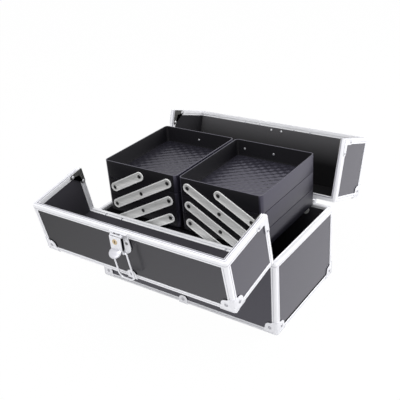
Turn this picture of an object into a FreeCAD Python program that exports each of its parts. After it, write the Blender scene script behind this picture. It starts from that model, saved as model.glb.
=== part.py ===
import FreeCAD, Part
import math
import os
import re

# Driving sizes in millimetres and degrees. X runs along the width, the front faces -Y, +Z is up,
# and the origin is the middle of the underside. Lid pieces are described closed, then swung open.
SIZES = {
    "case_width": 365.0,
    "case_depth": 203.0,
    "base_height": 136.0,
    "lid_height": 110.0,
    "seam": 0.6,
    "front_lid_depth": 92.5,
    "split_gap": 0.6,
    "front_open_angle": 100.5,
    "rear_open_angle": 109.5,
    # edge extrusions: outer skin, slot for the board, inner lip
    "skin": 1.0,
    "slot": 5.0,
    "lip": 1.0,
    "flange": 11.0,
    "edge_round": 4.0,
    "rim_body": 5.0,
    "rim_width": 10.0,
    "board_play": 0.2,
    "tongue_near": 7.6,
    "tongue_far": 8.8,
    "tongue_height": 1.0,
    "groove_play": 0.4,
    "groove_depth": 1.5,
    "lining": 1.5,
    # pressed corner guards and rivets
    "cap": 1.0,
    "cap_length": 25.0,
    "cap_band": 6.0,
    "lobe_radius": 9.0,
    "lobe_centre": 13.0,
    "clip_radius": 9.0,
    "clip_straight": 5.0,
    "plate_length": 30.0,
    "plate_band": 10.5,
    "bracket": 1.5,
    "bracket_length": 28.0,
    "bracket_band": 9.0,
    "rivet_foot": 3.2,
    "rivet_top": 2.2,
    "rivet_rise": 1.1,
    # butt hinges
    "hinge_place": 122.0,
    "hinge_half": 25.0,
    "knuckle_half": 12.0,
    "knuckle_gap": 0.3,
    "knuckle_radius": 4.0,
    "pin_offset": 4.5,
    "pin_radius": 2.0,
    "pin_play": 0.05,
    "leaf": 1.4,
    "leaf_height": 21.0,
    "leaf_rivet_place": 17.75,
    "leaf_rivet_level": 13.0,
    # trays and their arms
    "tray_centre_gap": 2.4,
    "tray_width": 151.0,
    "tray_side_room": 4.0,
    "tray_height": 31.0,
    "tray_play": 0.5,
    "tray_lift": 5.5,
    "tray_wall": 2.0,
    "tray_round": 4.0,
    "pivot_inner": 20.0,
    "pivot_margin": 18.0,
    "pivot_rise": 15.5,
    "arm_width": 16.0,
    "arm_thick": 1.5,
    "arm_gap": 0.4,
    "stem_radius": 2.2,
    "stem_play": 0.05,
    "head_radius": 3.4,
    "head_thick": 1.0,
    "head_gap": 0.2,
    "shoulder_radius": 4.0,
    # latch on the front lid, catch on the rear lid
    "latch_set_back": 3.2,
    "latch_axis_height": 7.4,
    "latch_plate_half": 16.0,
    "latch_plate_length": 41.0,
    "latch_plate": 1.5,
    "ear_near": 7.0,
    "ear_far": 8.6,
    "ear_round": 2.6,
    "latch_pin_radius": 1.5,
    "latch_pin_proud": 0.8,
    "latch_play": 0.05,
    "lever_play": 0.4,
    "lever_sheet": 1.5,
    "lever_length": 22.0,
    "lever_low": 3.1,
    "lever_drop": 2.5,
    "tongue_half": 12.5,
    "tongue_length": 17.0,
    "tongue_lift": 45.0,
    "lever_open_angle": 8.0,
    "lock_place": 7.7,
    "lock_radius": 4.5,
    "lock_low": 1.0,
    "lock_high": 5.4,
    "keyway_half": 0.6,
    "keyway_length": 2.6,
    "keyway_depth": 2.0,
    "loop_place": 27.0,
    "loop_play": 0.5,
    "loop_length": 54.0,
    "loop_bend": 9.0,
    "loop_lean": 11.0,
    "wire_radius": 1.5,
    "catch_near": 15.0,
    "catch_far": 42.0,
    "catch_half": 16.0,
    "hook_half": 9.0,
    "hook_near": 19.8,
    "hook_far": 21.5,
    "hook_tip": 25.8,
    "hook_low": 7.0,
    "hook_high": 8.5,
    # carrying handle on the rear lid
    "handle_place": 55.0,
    "handle_set_back": 11.0,
    "handle_axis_height": 9.5,
    "handle_plate_half": 24.0,
    "handle_plate_near": 3.0,
    "handle_plate_far": 19.0,
    "handle_ear_near": 3.0,
    "handle_ear_far": 5.0,
    "handle_ear_round": 4.5,
    "handle_pin_radius": 2.5,
    "handle_pin_half": 5.6,
    "handle_arm_half": 2.7,
    "handle_eye_radius": 4.5,
    "handle_reach": 40.0,
    "grip_radius": 7.5,
    "grip_half": 61.0,
}

# Sizes that follow from the driving ones, so that neighbours keep together.
FOLLOWS = {
    "core": "(skin + slot + lip)",
    "groove_near": "(tongue_near - groove_play)",
    "groove_far": "(tongue_far + groove_play)",
    "tray_half": "(case_depth / 2 - rim_width - tray_side_room)",
    "tray_pitch": "(tray_height + tray_play)",
    "pivot_pitch": "((tray_centre_gap + tray_width - pivot_margin - pivot_inner) / 2)",
    "lever_near": "(ear_far + lever_play)",
    "lever_half": "(ear_far + lever_play + lever_sheet)",
    "lever_high": "(lever_low + lever_sheet)",
    "loop_half": "(tongue_half + wire_radius + loop_play)",
    "latch_pin_half": "(ear_far + lever_play + lever_sheet + latch_pin_proud)",
}

DOC = FreeCAD.newDocument("train_case")
SHEET = DOC.addObject("Spreadsheet::Sheet", "Sizes")
for row, (alias, value) in enumerate(SIZES.items(), start=1):
    SHEET.set(f"A{row}", str(value))
    SHEET.setAlias(f"A{row}", alias)
DOC.recompute()

NODES = []
SIDES = ("front", "rear")
HANDS = ("left", "right")
RIM = "base_height"
LID = "base_height + seam"
TOP = "base_height + seam + lid_height"
PIN_LEVEL = "base_height + seam / 2"
LID_DEPTH = {"front": "front_lid_depth", "rear": "case_depth - front_lid_depth - split_gap"}
X_AXIS = FreeCAD.Vector(1, 0, 0)
Y_AXIS = FreeCAD.Vector(0, 1, 0)
TURNS = {
    "+x": FreeCAD.Rotation(Y_AXIS, 90),
    "-x": FreeCAD.Rotation(Y_AXIS, -90),
    "+y": FreeCAD.Rotation(X_AXIS, -90),
    "-y": FreeCAD.Rotation(X_AXIS, 90),
    "+z": FreeCAD.Rotation(),
    "-z": FreeCAD.Rotation(X_AXIS, 180),
}


def bind(item, prop, text):
    """Ties one property to an expression written with the size names."""
    for word, meaning in FOLLOWS.items():
        text = re.sub(rf"\b{word}\b", meaning, text)
    item.setExpression(prop, re.sub(r"\b[a-z][a-z_]*\b(?!\()", r"Sizes.\g<0>", text))


def keep(item, label, place=None):
    """Names a finished piece and marks it for writing."""
    item.Label = label
    if place is not None:
        item.Placement = place
    NODES.append(item)
    return item


def new_body(name):
    """Starts one solid piece."""
    return DOC.addObject("PartDesign::Body", name)


def group(label, pieces, place=None):
    """Gathers like pieces of one body into one node of separate solids."""
    item = DOC.addObject("Part::Compound", label)
    item.Links = pieces
    return keep(item, label, place)


def block(owner, kind, x, y, z):
    """Adds or cuts a block that spans a low-high range on each axis."""
    item = owner.newObject(f"PartDesign::{kind}Box", f"{owner.Name}_block")
    for prop, letter, (low, high) in zip(("Length", "Width", "Height"), "xyz", (x, y, z)):
        bind(item, prop, f"({high}) - ({low})")
        bind(item, f"Placement.Base.{letter}", low)
    return item


def place_round(item, axis, x, y, z):
    """Stands a cylinder along one axis, whose entry is a low-high range."""
    item.Placement = FreeCAD.Placement(FreeCAD.Vector(), TURNS[f"+{axis}"])
    for letter, value in zip("xyz", (x, y, z)):
        if letter == axis:
            low, high = value
            bind(item, "Height", f"({high}) - ({low})")
            bind(item, f"Placement.Base.{letter}", low)
        else:
            bind(item, f"Placement.Base.{letter}", value)


def rod(owner, kind, axis, radius, x, y, z):
    """Adds or cuts a cylinder along one axis."""
    item = owner.newObject(f"PartDesign::{kind}Cylinder", f"{owner.Name}_rod")
    bind(item, "Radius", radius)
    place_round(item, axis, x, y, z)
    return item


def round_edges(owner, radius, axis, points):
    """Rounds the straight edges along one axis that pass through the given points of the other two."""
    DOC.recompute()
    base = owner.Tip
    index = "xyz".index(axis)
    picked = []
    for number, edge in enumerate(base.Shape.Edges, start=1):
        ends = [vertex.Point for vertex in edge.Vertexes]
        if len(ends) != 2 or abs(ends[0][index] - ends[1][index]) < 1e-6:
            continue
        flat = [tuple(p[i] for i in range(3) if i != index) for p in ends]
        if any(math.dist(flat[0], q) < 1e-4 and math.dist(flat[1], q) < 1e-4 for q in points):
            picked.append(f"Edge{number}")
    item = owner.newObject("PartDesign::Fillet", f"{owner.Name}_round")
    item.Base = (base, picked)
    bind(item, "Radius", radius)
    return item


def x_span(hand, near, far):
    """The range between two depths inside the left or right face."""
    if hand == "left":
        return (f"-case_width / 2 + ({near})", f"-case_width / 2 + ({far})")
    return (f"case_width / 2 - ({far})", f"case_width / 2 - ({near})")


def y_span(side, near, far):
    """The range between two depths inside the front or rear face."""
    if side == "front":
        return (f"-case_depth / 2 + ({near})", f"-case_depth / 2 + ({far})")
    return (f"case_depth / 2 - ({far})", f"case_depth / 2 - ({near})")


def z_top(near, far):
    """The range between two depths below the closed top."""
    return (f"{TOP} - ({far})", f"{TOP} - ({near})")


def x_full(depth):
    """The whole width, brought in by a depth at both ends."""
    return (f"-case_width / 2 + ({depth})", f"case_width / 2 - ({depth})")


def y_full(depth):
    """The whole depth of the case, brought in at both ends."""
    return (f"-case_depth / 2 + ({depth})", f"case_depth / 2 - ({depth})")


def centred(half):
    """A range about the middle."""
    return (f"-({half})", f"({half})")


def half_case():
    """Half the width and half the depth as numbers."""
    return SIZES["case_width"] / 2, SIZES["case_depth"] / 2


def top_level():
    """The closed height as a number."""
    return SIZES["base_height"] + SIZES["seam"] + SIZES["lid_height"]


def lid_swing(side):
    """The placement that swings a closed lid open about its hinge pin."""
    sign = -1 if side == "front" else 1
    angle = -sign * SIZES[f"{side}_open_angle"]
    y = sign * (SIZES["case_depth"] / 2 + SIZES["pin_offset"])
    z = SIZES["base_height"] + SIZES["seam"] / 2
    centre = FreeCAD.Vector(0, y, z)
    return FreeCAD.Placement(FreeCAD.Vector(), FreeCAD.Rotation(X_AXIS, angle), centre)


def panel(label, x, y, z, place=None):
    """One flat board."""
    item = new_body(label)
    block(item, "Additive", x, y, z)
    return keep(item, label, place)


def corner_bar(name, spans, along):
    """One edge extrusion: a core with a slot for a board on each of two faces."""
    item = new_body(name)
    (first, first_span), (second, second_span) = spans
    profile = (
        ("0", "core", "0", "core"),
        ("core", "flange", "0", "skin"),
        ("0", "skin", "core", "flange"),
        ("core", "flange", "core - lip", "core"),
        ("core - lip", "core", "core", "flange"),
    )
    for a, b, c, d in profile:
        ranges = {first: first_span(a, b), second: second_span(c, d)}
        ranges.update(along)
        block(item, "Additive", ranges["x"], ranges["y"], ranges["z"])
    return item


def rim_ring(name, level):
    """The ring round an opening, with its outer skin and inner lip reaching over the boards.

    level gives the height range between two depths measured from the meeting face.
    """
    item = new_body(name)
    half_w, half_d = half_case()

    def layer(kind, inset, near, far):
        block(item, kind, x_full(inset), y_full(inset), level(near, far))

    layer("Additive", "0", "0", "flange")
    corners = [(a * half_w, b * half_d) for a in (-1, 1) for b in (-1, 1)]
    round_edges(item, "edge_round", "z", corners)
    layer("Subtractive", "skin", "rim_body", "flange")
    layer("Additive", "core - lip", "rim_body", "flange")
    layer("Subtractive", "core", "rim_body", "flange")
    return item, layer


def corner_cap(name, spans, faces):
    """A pressed cap: on each covered face two bands along the edges and a lobe for its rivet."""
    item = new_body(name)
    for face in faces:
        first, second = [axis for axis in "xyz" if axis != face]
        start = {axis: "-cap" if axis in faces else "0" for axis in (first, second)}
        for long, short in ((first, second), (second, first)):
            ranges = {
                face: spans[face]("-cap", "0"),
                long: spans[long](start[long], "cap_length"),
                short: spans[short](start[short], "cap_band"),
            }
            block(item, "Additive", ranges["x"], ranges["y"], ranges["z"])
        ranges = {axis: spans[axis]("lobe_centre", "lobe_centre")[0] for axis in (first, second)}
        ranges[face] = spans[face]("-cap", "0")
        rod(item, "Additive", face, "lobe_radius", ranges["x"], ranges["y"], ranges["z"])
    return item


def rivet(facing, x, y, z):
    """A low rivet head whose foot lies at a point and whose top faces one way."""
    item = DOC.addObject("Part::Cone", "rivet")
    item.Placement = FreeCAD.Placement(FreeCAD.Vector(), TURNS[facing])
    bind(item, "Radius1", "rivet_foot")
    bind(item, "Radius2", "rivet_top")
    bind(item, "Height", "rivet_rise")
    for letter, value in zip("xyz", (x, y, z)):
        bind(item, f"Placement.Base.{letter}", value)
    return item


def outward(axis, low_end):
    """The direction out of a face at the low or the high end of an axis."""
    return f"{'-' if low_end else '+'}{axis}"


def cap_rivets(spans, faces, low_ends):
    """One rivet head on each lobe of a corner cap."""
    heads = []
    for face in faces:
        spot = {axis: spans[axis]("lobe_centre", "lobe_centre")[0] for axis in "xyz"}
        outer = spans[face]("-cap", "-cap")[0]
        spot[face] = outer
        heads.append(rivet(outward(face, low_ends[face]), spot["x"], spot["y"], spot["z"]))
    return heads


def hinge_leaf(name, side, centre, upper):
    """One hinge leaf with its knuckles, on the base or on a lid."""
    item = new_body(name)
    way = "+" if upper else "-"

    def level(near, far):
        ends = (f"{PIN_LEVEL} {way} ({near})", f"{PIN_LEVEL} {way} ({far})")
        return ends if upper else ends[::-1]

    plate_y = y_span(side, "-leaf", "0")
    pin_y = y_span(side, "-pin_offset", "-pin_offset")[0]
    edge = "knuckle_radius + 2 * knuckle_gap"
    block(
        item, "Additive", (f"{centre} - hinge_half", f"{centre} + hinge_half"), plate_y,
        level(edge, "leaf_height"),
    )
    if upper:
        runs = [(f"{centre} - knuckle_half", f"{centre} + knuckle_half")]
    else:
        clear = "knuckle_half + knuckle_gap"
        runs = [
            (f"{centre} - hinge_half", f"{centre} - ({clear})"),
            (f"{centre} + {clear}", f"{centre} + hinge_half"),
        ]
    bore = "pin_radius + pin_play" if upper else "pin_radius"
    for run in runs:
        block(item, "Additive", run, plate_y, level("knuckle_gap", edge))
        rod(item, "Additive", "x", "knuckle_radius", run, pin_y, PIN_LEVEL)
    for run in runs:
        rod(item, "Subtractive", "x", bore, run, pin_y, PIN_LEVEL)
    return item


def hinge_places():
    """The middle of the left and right hinges."""
    return {"left": "-hinge_place", "right": "hinge_place"}


def leaf_rivets(side, upper):
    """The rivet heads of the two leaves on one wall."""
    heads = []
    level = f"{PIN_LEVEL} {'+' if upper else '-'} leaf_rivet_level"
    face = y_span(side, "-leaf", "-leaf")[0]
    for centre in hinge_places().values():
        for way in "-+":
            spot = f"{centre} {way} leaf_rivet_place"
            heads.append(rivet(outward("y", side == "front"), spot, face, level))
    return heads


def tray_level(step):
    """The underside of a tray, counted from the lowest."""
    return f"base_height + tray_lift + {step} * tray_pitch"


def hand_sign(hand):
    """The sign of x on one hand."""
    return "-" if hand == "left" else ""


def pivot_x(hand, step):
    """The x of a pivot, counted outwards from the middle."""
    return f"{hand_sign(hand)}(pivot_inner + {step} * pivot_pitch)"


def pivot_steps():
    """The rise and the run from one pivot to the next as numbers."""
    outer = SIZES["tray_centre_gap"] + SIZES["tray_width"] - SIZES["pivot_margin"]
    return SIZES["tray_height"] + SIZES["tray_play"], (outer - SIZES["pivot_inner"]) / 2


def from_tray(side, near, far):
    """The y range between two distances outside a tray's front or rear face."""
    if side == "front":
        return (f"-tray_half - ({far})", f"-tray_half - ({near})")
    return (f"tray_half + ({near})", f"tray_half + ({far})")


def make_base():
    """The lower box."""
    half_w, half_d = half_case()
    wall_z = ("core + board_play", f"{RIM} - rim_body - board_play")
    for side in SIDES:
        panel(f"base_{side}_panel", x_full("core + board_play"), y_span(side, "skin", "skin + slot"), wall_z)
    sides = []
    for hand in HANDS:
        item = new_body(f"base_{hand}_board")
        block(item, "Additive", x_span(hand, "skin", "skin + slot"), y_full("core + board_play"), wall_z)
        sides.append(item)
    group("base_side_panels", sides)
    panel("base_floor_panel", x_full("core + board_play"), y_full("core + board_play"), ("0", "slot"))

    item = new_body("base_lining")
    block(item, "Additive", x_full("core"), y_full("core"), ("slot + lip", f"{RIM} - rim_body"))
    inside = "core + lining"
    block(
        item, "Subtractive", x_full(inside), y_full(inside),
        ("slot + lip + lining", f"{RIM} - rim_body"),
    )
    for side in SIDES:
        block(
            item, "Subtractive", x_full("0"), y_span(side, "core", "flange"),
            ("slot + lip", "core"),
        )
    keep(item, "base_lining")

    posts = []
    for hand in HANDS:
        for side in SIDES:
            spans = (
                ("x", lambda a, b, hand=hand: x_span(hand, a, b)),
                ("y", lambda a, b, side=side: y_span(side, a, b)),
            )
            name = f"base_post_{hand}_{side}"
            post = corner_bar(name, spans, {"z": ("flange", f"{RIM} - flange")})
            corner = (
                half_w * (-1 if hand == "left" else 1),
                half_d * (-1 if side == "front" else 1),
            )
            round_edges(post, "edge_round", "z", [corner])
            posts.append(post)
    group("base_corner_posts", posts)

    def below_rim(near, far):
        return (f"{RIM} - ({far})", f"{RIM} - ({near})")

    rim, layer = rim_ring("base_top_rim", below_rim)
    layer("Additive", "tongue_near", "-tongue_height", "0")
    layer("Subtractive", "tongue_far", "-tongue_height", "0")
    layer("Subtractive", "rim_width", "0", "rim_body")
    keep(rim, "base_top_rim")

    edges = []
    profile = (
        ("0", "core", "0", "core"),
        ("0", "skin", "core", "flange"),
        ("core - lip", "core", "core", "flange"),
        ("core", "flange", "slot", "slot + lip"),
    )
    for side in SIDES:
        bar = new_body(f"base_{side}_lower_edge")
        for a, b, low, high in profile:
            block(bar, "Additive", x_full("0"), y_span(side, a, b), (low, high))
        round_edges(bar, "edge_round", "x", [(half_d * (-1 if side == "front" else 1), 0.0)])
        edges.append(bar)
    for hand in HANDS:
        bar = new_body(f"base_{hand}_lower_edge")
        for a, b, low, high in profile:
            block(bar, "Additive", x_span(hand, a, b), y_full("flange"), (low, high))
        round_edges(bar, "edge_round", "y", [(half_w * (-1 if hand == "left" else 1), 0.0)])
        edges.append(bar)
    group("base_bottom_edges", edges)

    guards = []
    heads = []
    for hand in HANDS:
        for side in SIDES:
            spans = {
                "x": lambda a, b, hand=hand: x_span(hand, a, b),
                "y": lambda a, b, side=side: y_span(side, a, b),
                "z": lambda a, b: (a, b),
            }
            guards.append(corner_cap(f"base_cap_{hand}_{side}", spans, "xy"))
            heads += cap_rivets(spans, "xy", {"x": hand == "left", "y": side == "front"})
    for side in SIDES:
        clip = new_body(f"base_clip_{side}")
        face = y_span(side, "-cap", "0")
        block(clip, "Additive", centred("clip_radius"), face, ("0", "clip_straight"))
        rod(clip, "Additive", "y", "clip_radius", "0", face, "clip_straight")
        block(clip, "Subtractive", centred("clip_radius"), face, ("-clip_radius", "0"))
        guards.append(clip)
        outer = y_span(side, "-cap", "-cap")[0]
        heads.append(rivet(outward("y", side == "front"), "0", outer, "clip_straight + cap"))
    group("base_corner_guards", guards)

    leaves = []
    pins = []
    for side in SIDES:
        heads += leaf_rivets(side, False)
        for hand, centre in hinge_places().items():
            leaves.append(hinge_leaf(f"base_leaf_{side}_{hand}", side, centre, False))
            pin = new_body(f"hinge_pin_{side}_{hand}")
            run = (f"{centre} - hinge_half", f"{centre} + hinge_half")
            pin_y = y_span(side, "-pin_offset", "-pin_offset")[0]
            rod(pin, "Additive", "x", "pin_radius", run, pin_y, PIN_LEVEL)
            pins.append(pin)
    group("base_hinge_leaves", leaves)
    group("hinge_pins", pins)
    group("base_rivets", heads)

    studs = []
    for hand in HANDS:
        for side in SIDES:
            for step in (1, 2):
                stud = new_body(f"stud_{hand}_{side}_{step}")
                spot = (pivot_x(hand, step), f"{tray_level(-1)} + pivot_rise")
                lining_face = "case_depth / 2 - core - lining - tray_half"
                past = "arm_gap + arm_thick + head_gap"
                inner = ("arm_gap - head_gap - head_thick", "arm_gap - head_gap")
                for radius, near, far in (
                    ("shoulder_radius", past, lining_face),
                    ("stem_radius", inner[0], lining_face),
                    ("head_radius", inner[0], inner[1]),
                ):
                    rod(stud, "Additive", "y", radius, spot[0], from_tray(side, near, far), spot[1])
                studs.append(stud)
    group("base_pivot_studs", studs)


def make_lid(side):
    """One of the two lids, swung open."""
    swing = lid_swing(side)
    depth = LID_DEPTH[side]
    sign = -1 if side == "front" else 1
    half_w, half_d = half_case()
    top = top_level()
    wall_z = (f"{LID} + rim_body + board_play", f"{TOP} - core - board_play")
    deep_y = y_span(side, "core + board_play", f"{depth} - rim_body - board_play")

    panel(
        f"{side}_lid_{side}_panel", x_full("core + board_play"),
        y_span(side, "skin", "skin + slot"), wall_z, swing,
    )
    panel(f"{side}_lid_top_panel", x_full("core + board_play"), deep_y, z_top("skin", "skin + slot"), swing)
    boards = []
    for hand in HANDS:
        item = new_body(f"{side}_lid_{hand}_board")
        block(item, "Additive", x_span(hand, "skin", "skin + slot"), deep_y, wall_z)
        boards.append(item)
    group(f"{side}_lid_side_panels", boards, swing)

    def y_in(a, b):
        return y_span(side, a, b)

    long_edge = corner_bar(f"{side}_lid_long_edge", (("y", y_in), ("z", z_top)), {"x": x_full("0")})
    round_edges(long_edge, "edge_round", "x", [(sign * half_d, top)])
    bars = [long_edge]
    for hand in HANDS:
        hand_w = half_w * (-1 if hand == "left" else 1)
        x_in = ("x", lambda a, b, hand=hand: x_span(hand, a, b))
        upright = {"z": (f"{LID} + flange", f"{TOP} - flange")}
        bar = corner_bar(f"{side}_lid_{hand}_upright", (x_in, ("y", y_in)), upright)
        round_edges(bar, "edge_round", "z", [(hand_w, sign * half_d)])
        bars.append(bar)
        level = {"y": y_span(side, "flange", f"{depth} - flange")}
        bar = corner_bar(f"{side}_lid_{hand}_side_edge", (x_in, ("z", z_top)), level)
        round_edges(bar, "edge_round", "y", [(hand_w, top)])
        bars.append(bar)
    group(f"{side}_lid_edge_bars", bars, swing)

    def above_seam(near, far):
        return (f"{LID} + ({near})", f"{LID} + ({far})")

    lower, layer = rim_ring(f"{side}_lid_lower_rim", above_seam)
    layer("Subtractive", "groove_near", "0", "groove_depth")
    layer("Additive", "groove_far", "0", "groove_depth")
    layer("Subtractive", "rim_width", "0", "rim_body")
    past = y_span(side, depth, "case_depth + flange")
    block(lower, "Subtractive", x_full("-flange"), past, above_seam("-flange", "2 * flange"))
    near_split = y_span(side, f"{depth} - flange", depth)
    block(lower, "Subtractive", x_full("-flange"), near_split, above_seam("rim_body", "2 * flange"))

    split = new_body(f"{side}_lid_split_rim")

    def arch(kind, inset, near, far):
        across = y_span(side, f"{depth} - ({far})", f"{depth} - ({near})")
        block(split, kind, x_full(inset), across, (f"{LID} + rim_body", f"{TOP} - ({inset})"))

    arch("Additive", "0", "0", "flange")
    round_edges(split, "edge_round", "y", [(-half_w, top), (half_w, top)])
    arch("Subtractive", "skin", "rim_body", "flange")
    arch("Additive", "core - lip", "rim_body", "flange")
    arch("Subtractive", "core", "rim_body", "flange")
    arch("Subtractive", "rim_width", "0", "rim_body")
    group(f"{side}_lid_rims", [lower, split], swing)

    guards = []
    heads = leaf_rivets(side, True)
    for hand in HANDS:
        spans = {
            "x": lambda a, b, hand=hand: x_span(hand, a, b),
            "y": y_in,
            "z": z_top,
        }
        guards.append(corner_cap(f"{side}_lid_cap_{hand}", spans, "xyz"))
        heads += cap_rivets(spans, "xyz", {"x": hand == "left", "y": side == "front", "z": False})
    clip = new_body(f"{side}_lid_clip")
    face = z_top("-cap", "0")
    block(clip, "Additive", centred("clip_radius"), y_in("0", "clip_straight"), face)
    spot = y_in("clip_straight", "clip_straight")[0]
    rod(clip, "Additive", "z", "clip_radius", "0", spot, face)
    block(clip, "Subtractive", centred("clip_radius"), y_in("-clip_radius", "0"), face)
    guards.append(clip)
    heads.append(rivet("+z", "0", y_in("clip_straight + cap", "0")[side == "rear"], f"{TOP} + cap"))

    brackets = []
    for hand in HANDS:
        plate = new_body(f"{side}_lid_plate_{hand}")
        face = x_span(hand, "-cap", "0")
        split_y = y_in(f"{depth} - plate_band", depth)
        long_y = y_in(f"{depth} - plate_length", depth)
        block(plate, "Additive", face, split_y, (LID, f"{LID} + plate_length"))
        block(plate, "Additive", face, long_y, (LID, f"{LID} + plate_band"))
        guards.append(plate)
        outer = x_span(hand, "-cap", "-cap")[0]
        mid = "plate_band / 2"
        end = "plate_length - plate_band / 2"
        for across, up in ((mid, end), (end, mid)):
            spot_y = y_in(f"{depth} - ({across})", f"{depth} - ({across})")[0]
            heads.append(rivet(outward("x", hand == "left"), outer, spot_y, f"{LID} + {up}"))

        bracket = new_body(f"{side}_lid_bracket_{hand}")
        face = x_span(hand, "rim_width", "rim_width + bracket")
        split_y = y_in(f"{depth} - bracket_band", depth)
        long_y = y_in(f"{depth} - bracket_length", depth)
        block(bracket, "Additive", face, split_y, (LID, f"{LID} + bracket_length"))
        block(bracket, "Additive", face, long_y, (LID, f"{LID} + bracket_band"))
        brackets.append(bracket)
    group(f"{side}_lid_corner_guards", guards, swing)
    group(f"{side}_lid_corner_brackets", brackets, swing)
    group(f"{side}_lid_rivets", heads, swing)
    leaves = [
        hinge_leaf(f"{side}_lid_leaf_{hand}", side, centre, True)
        for hand, centre in hinge_places().items()
    ]
    group(f"{side}_lid_hinge_leaves", leaves, swing)


def make_tongue(lever):
    """The lever's thumb tongue: a flat neck that leans out and ends in a half round."""
    leaning = FreeCAD.Rotation(X_AXIS, -SIZES["tongue_lift"])
    neck = "(tongue_length - tongue_half)"
    end_y = f"-lever_length - {neck} * cos(tongue_lift)"
    end_z = f"lever_low + {neck} * sin(tongue_lift)"
    flat = block(
        lever, "Additive", centred("tongue_half"), (end_y, f"{end_y} + {neck}"),
        (end_z, f"{end_z} + lever_sheet"),
    )
    flat.Placement = FreeCAD.Placement(FreeCAD.Vector(), leaning)
    tip = lever.newObject("PartDesign::AdditiveCylinder", "latch_lever_tip")
    tip.Angle = 180
    half_turn = FreeCAD.Rotation(FreeCAD.Vector(0, 0, 1), 180)
    tip.Placement = FreeCAD.Placement(FreeCAD.Vector(), leaning.multiply(half_turn))
    bind(tip, "Radius", "tongue_half")
    bind(tip, "Height", "lever_sheet")
    bind(tip, "Placement.Base.y", end_y)
    bind(tip, "Placement.Base.z", end_z)


def make_latch():
    """The latch on the front lid: plate, pin, lever, lock plug and wire loop."""
    swing = lid_swing("front")
    split = "-case_depth / 2 + front_lid_depth"
    axis_y = f"{split} - latch_set_back"
    axis_z = f"{TOP} + latch_axis_height"
    plate_z = (TOP, f"{TOP} + latch_plate")

    plate = new_body("latch_base_plate")
    front_end = f"{split} - latch_plate_length"
    block(
        plate, "Additive", centred("latch_plate_half"),
        (f"{front_end} + latch_plate_half", f"{split} - board_play"), plate_z,
    )
    rod(plate, "Additive", "z", "latch_plate_half", "0", f"{front_end} + latch_plate_half", plate_z)
    for ends in (("-ear_far", "-ear_near"), ("ear_near", "ear_far")):
        ear_y = (f"{axis_y} - ear_round", f"{axis_y} + ear_round")
        block(plate, "Additive", ends, ear_y, (TOP, axis_z))
        rod(plate, "Additive", "x", "ear_round", ends, axis_y, axis_z)
    rod(plate, "Subtractive", "x", "latch_pin_radius", centred("ear_far"), axis_y, axis_z)
    keep(plate, "latch_base_plate", swing)

    pin = new_body("latch_pin")
    rod(pin, "Additive", "x", "latch_pin_radius", centred("latch_pin_half"), axis_y, axis_z)
    keep(pin, "latch_pin", swing)

    # The lever is drawn from its own axis, pointing to -Y, and then set at its opening angle.
    lever_y = -SIZES["case_depth"] / 2 + SIZES["front_lid_depth"] - SIZES["latch_set_back"]
    lever_z = top_level() + SIZES["latch_axis_height"]
    opened = FreeCAD.Rotation(X_AXIS, -SIZES["lever_open_angle"])
    lever_place = swing.multiply(FreeCAD.Placement(FreeCAD.Vector(0, lever_y, lever_z), opened))

    lever = new_body("latch_lever")
    block(
        lever, "Additive", centred("lever_half"), ("-lever_length", "0"),
        ("lever_low", "lever_high"),
    )
    make_tongue(lever)
    for ends in (("-lever_half", "-lever_near"), ("lever_near", "lever_half")):
        block(lever, "Additive", ends, ("-loop_place", "0"), ("-lever_drop", "lever_drop"))
        block(lever, "Additive", ends, ("-lever_length", "0"), ("lever_drop", "lever_low"))
        for eye in ("0", "-loop_place"):
            rod(lever, "Additive", "x", "lever_drop", ends, eye, "0")
    hole = "latch_pin_radius + latch_play"
    rod(lever, "Subtractive", "x", hole, centred("lever_half"), "0", "0")
    hole = "wire_radius + latch_play"
    rod(lever, "Subtractive", "x", hole, centred("lever_half"), "-loop_place", "0")
    hole = "lock_radius + latch_play"
    rod(lever, "Subtractive", "z", hole, "0", "-lock_place", ("lever_low", "lever_high"))
    keep(lever, "latch_lever", lever_place)

    plug = new_body("lock_plug")
    rod(plug, "Additive", "z", "lock_radius", "0", "-lock_place", ("lock_low", "lock_high"))
    block(
        plug, "Subtractive", centred("keyway_half"),
        ("-lock_place - keyway_length", "-lock_place + keyway_length"),
        ("lock_high - keyway_depth", "lock_high"),
    )
    keep(plug, "lock_plug", lever_place)

    # The loop is drawn from its own axis, pointing to -Y, and hangs down along the lid.
    loop = new_body("latch_loop")
    straight = "loop_length - loop_bend"
    legs = (
        ("-loop_half", ("-loop_half", "-lever_near")),
        ("loop_half", ("lever_near", "loop_half")),
    )
    for x, ends in legs:
        rod(loop, "Additive", "y", "wire_radius", x, (f"-({straight})", "0"), "0")
        rod(loop, "Additive", "x", "wire_radius", ends, "0", "0")
        bend = loop.newObject("PartDesign::AdditiveSphere", "latch_loop_elbow")
        bind(bend, "Radius", "wire_radius")
        bind(bend, "Placement.Base.x", x)
    rod(loop, "Additive", "x", "wire_radius", centred("loop_half - loop_bend"), "-loop_length", "0")
    for start, x in ((180, "-loop_half + loop_bend"), (270, "loop_half - loop_bend")):
        bend = loop.newObject("PartDesign::AdditiveTorus", "latch_loop_bend")
        bend.Angle3 = 90
        bend.Placement = FreeCAD.Placement(
            FreeCAD.Vector(), FreeCAD.Rotation(FreeCAD.Vector(0, 0, 1), start)
        )
        bind(bend, "Radius1", "loop_bend")
        bind(bend, "Radius2", "wire_radius")
        bind(bend, "Placement.Base.x", x)
        bind(bend, "Placement.Base.y", f"-({straight})")
    eye = lever_place.multVec(FreeCAD.Vector(0, -SIZES["loop_place"], 0))
    hanging = FreeCAD.Rotation(X_AXIS, 90 + SIZES["loop_lean"])
    keep(loop, "latch_loop", FreeCAD.Placement(eye, hanging))


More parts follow.
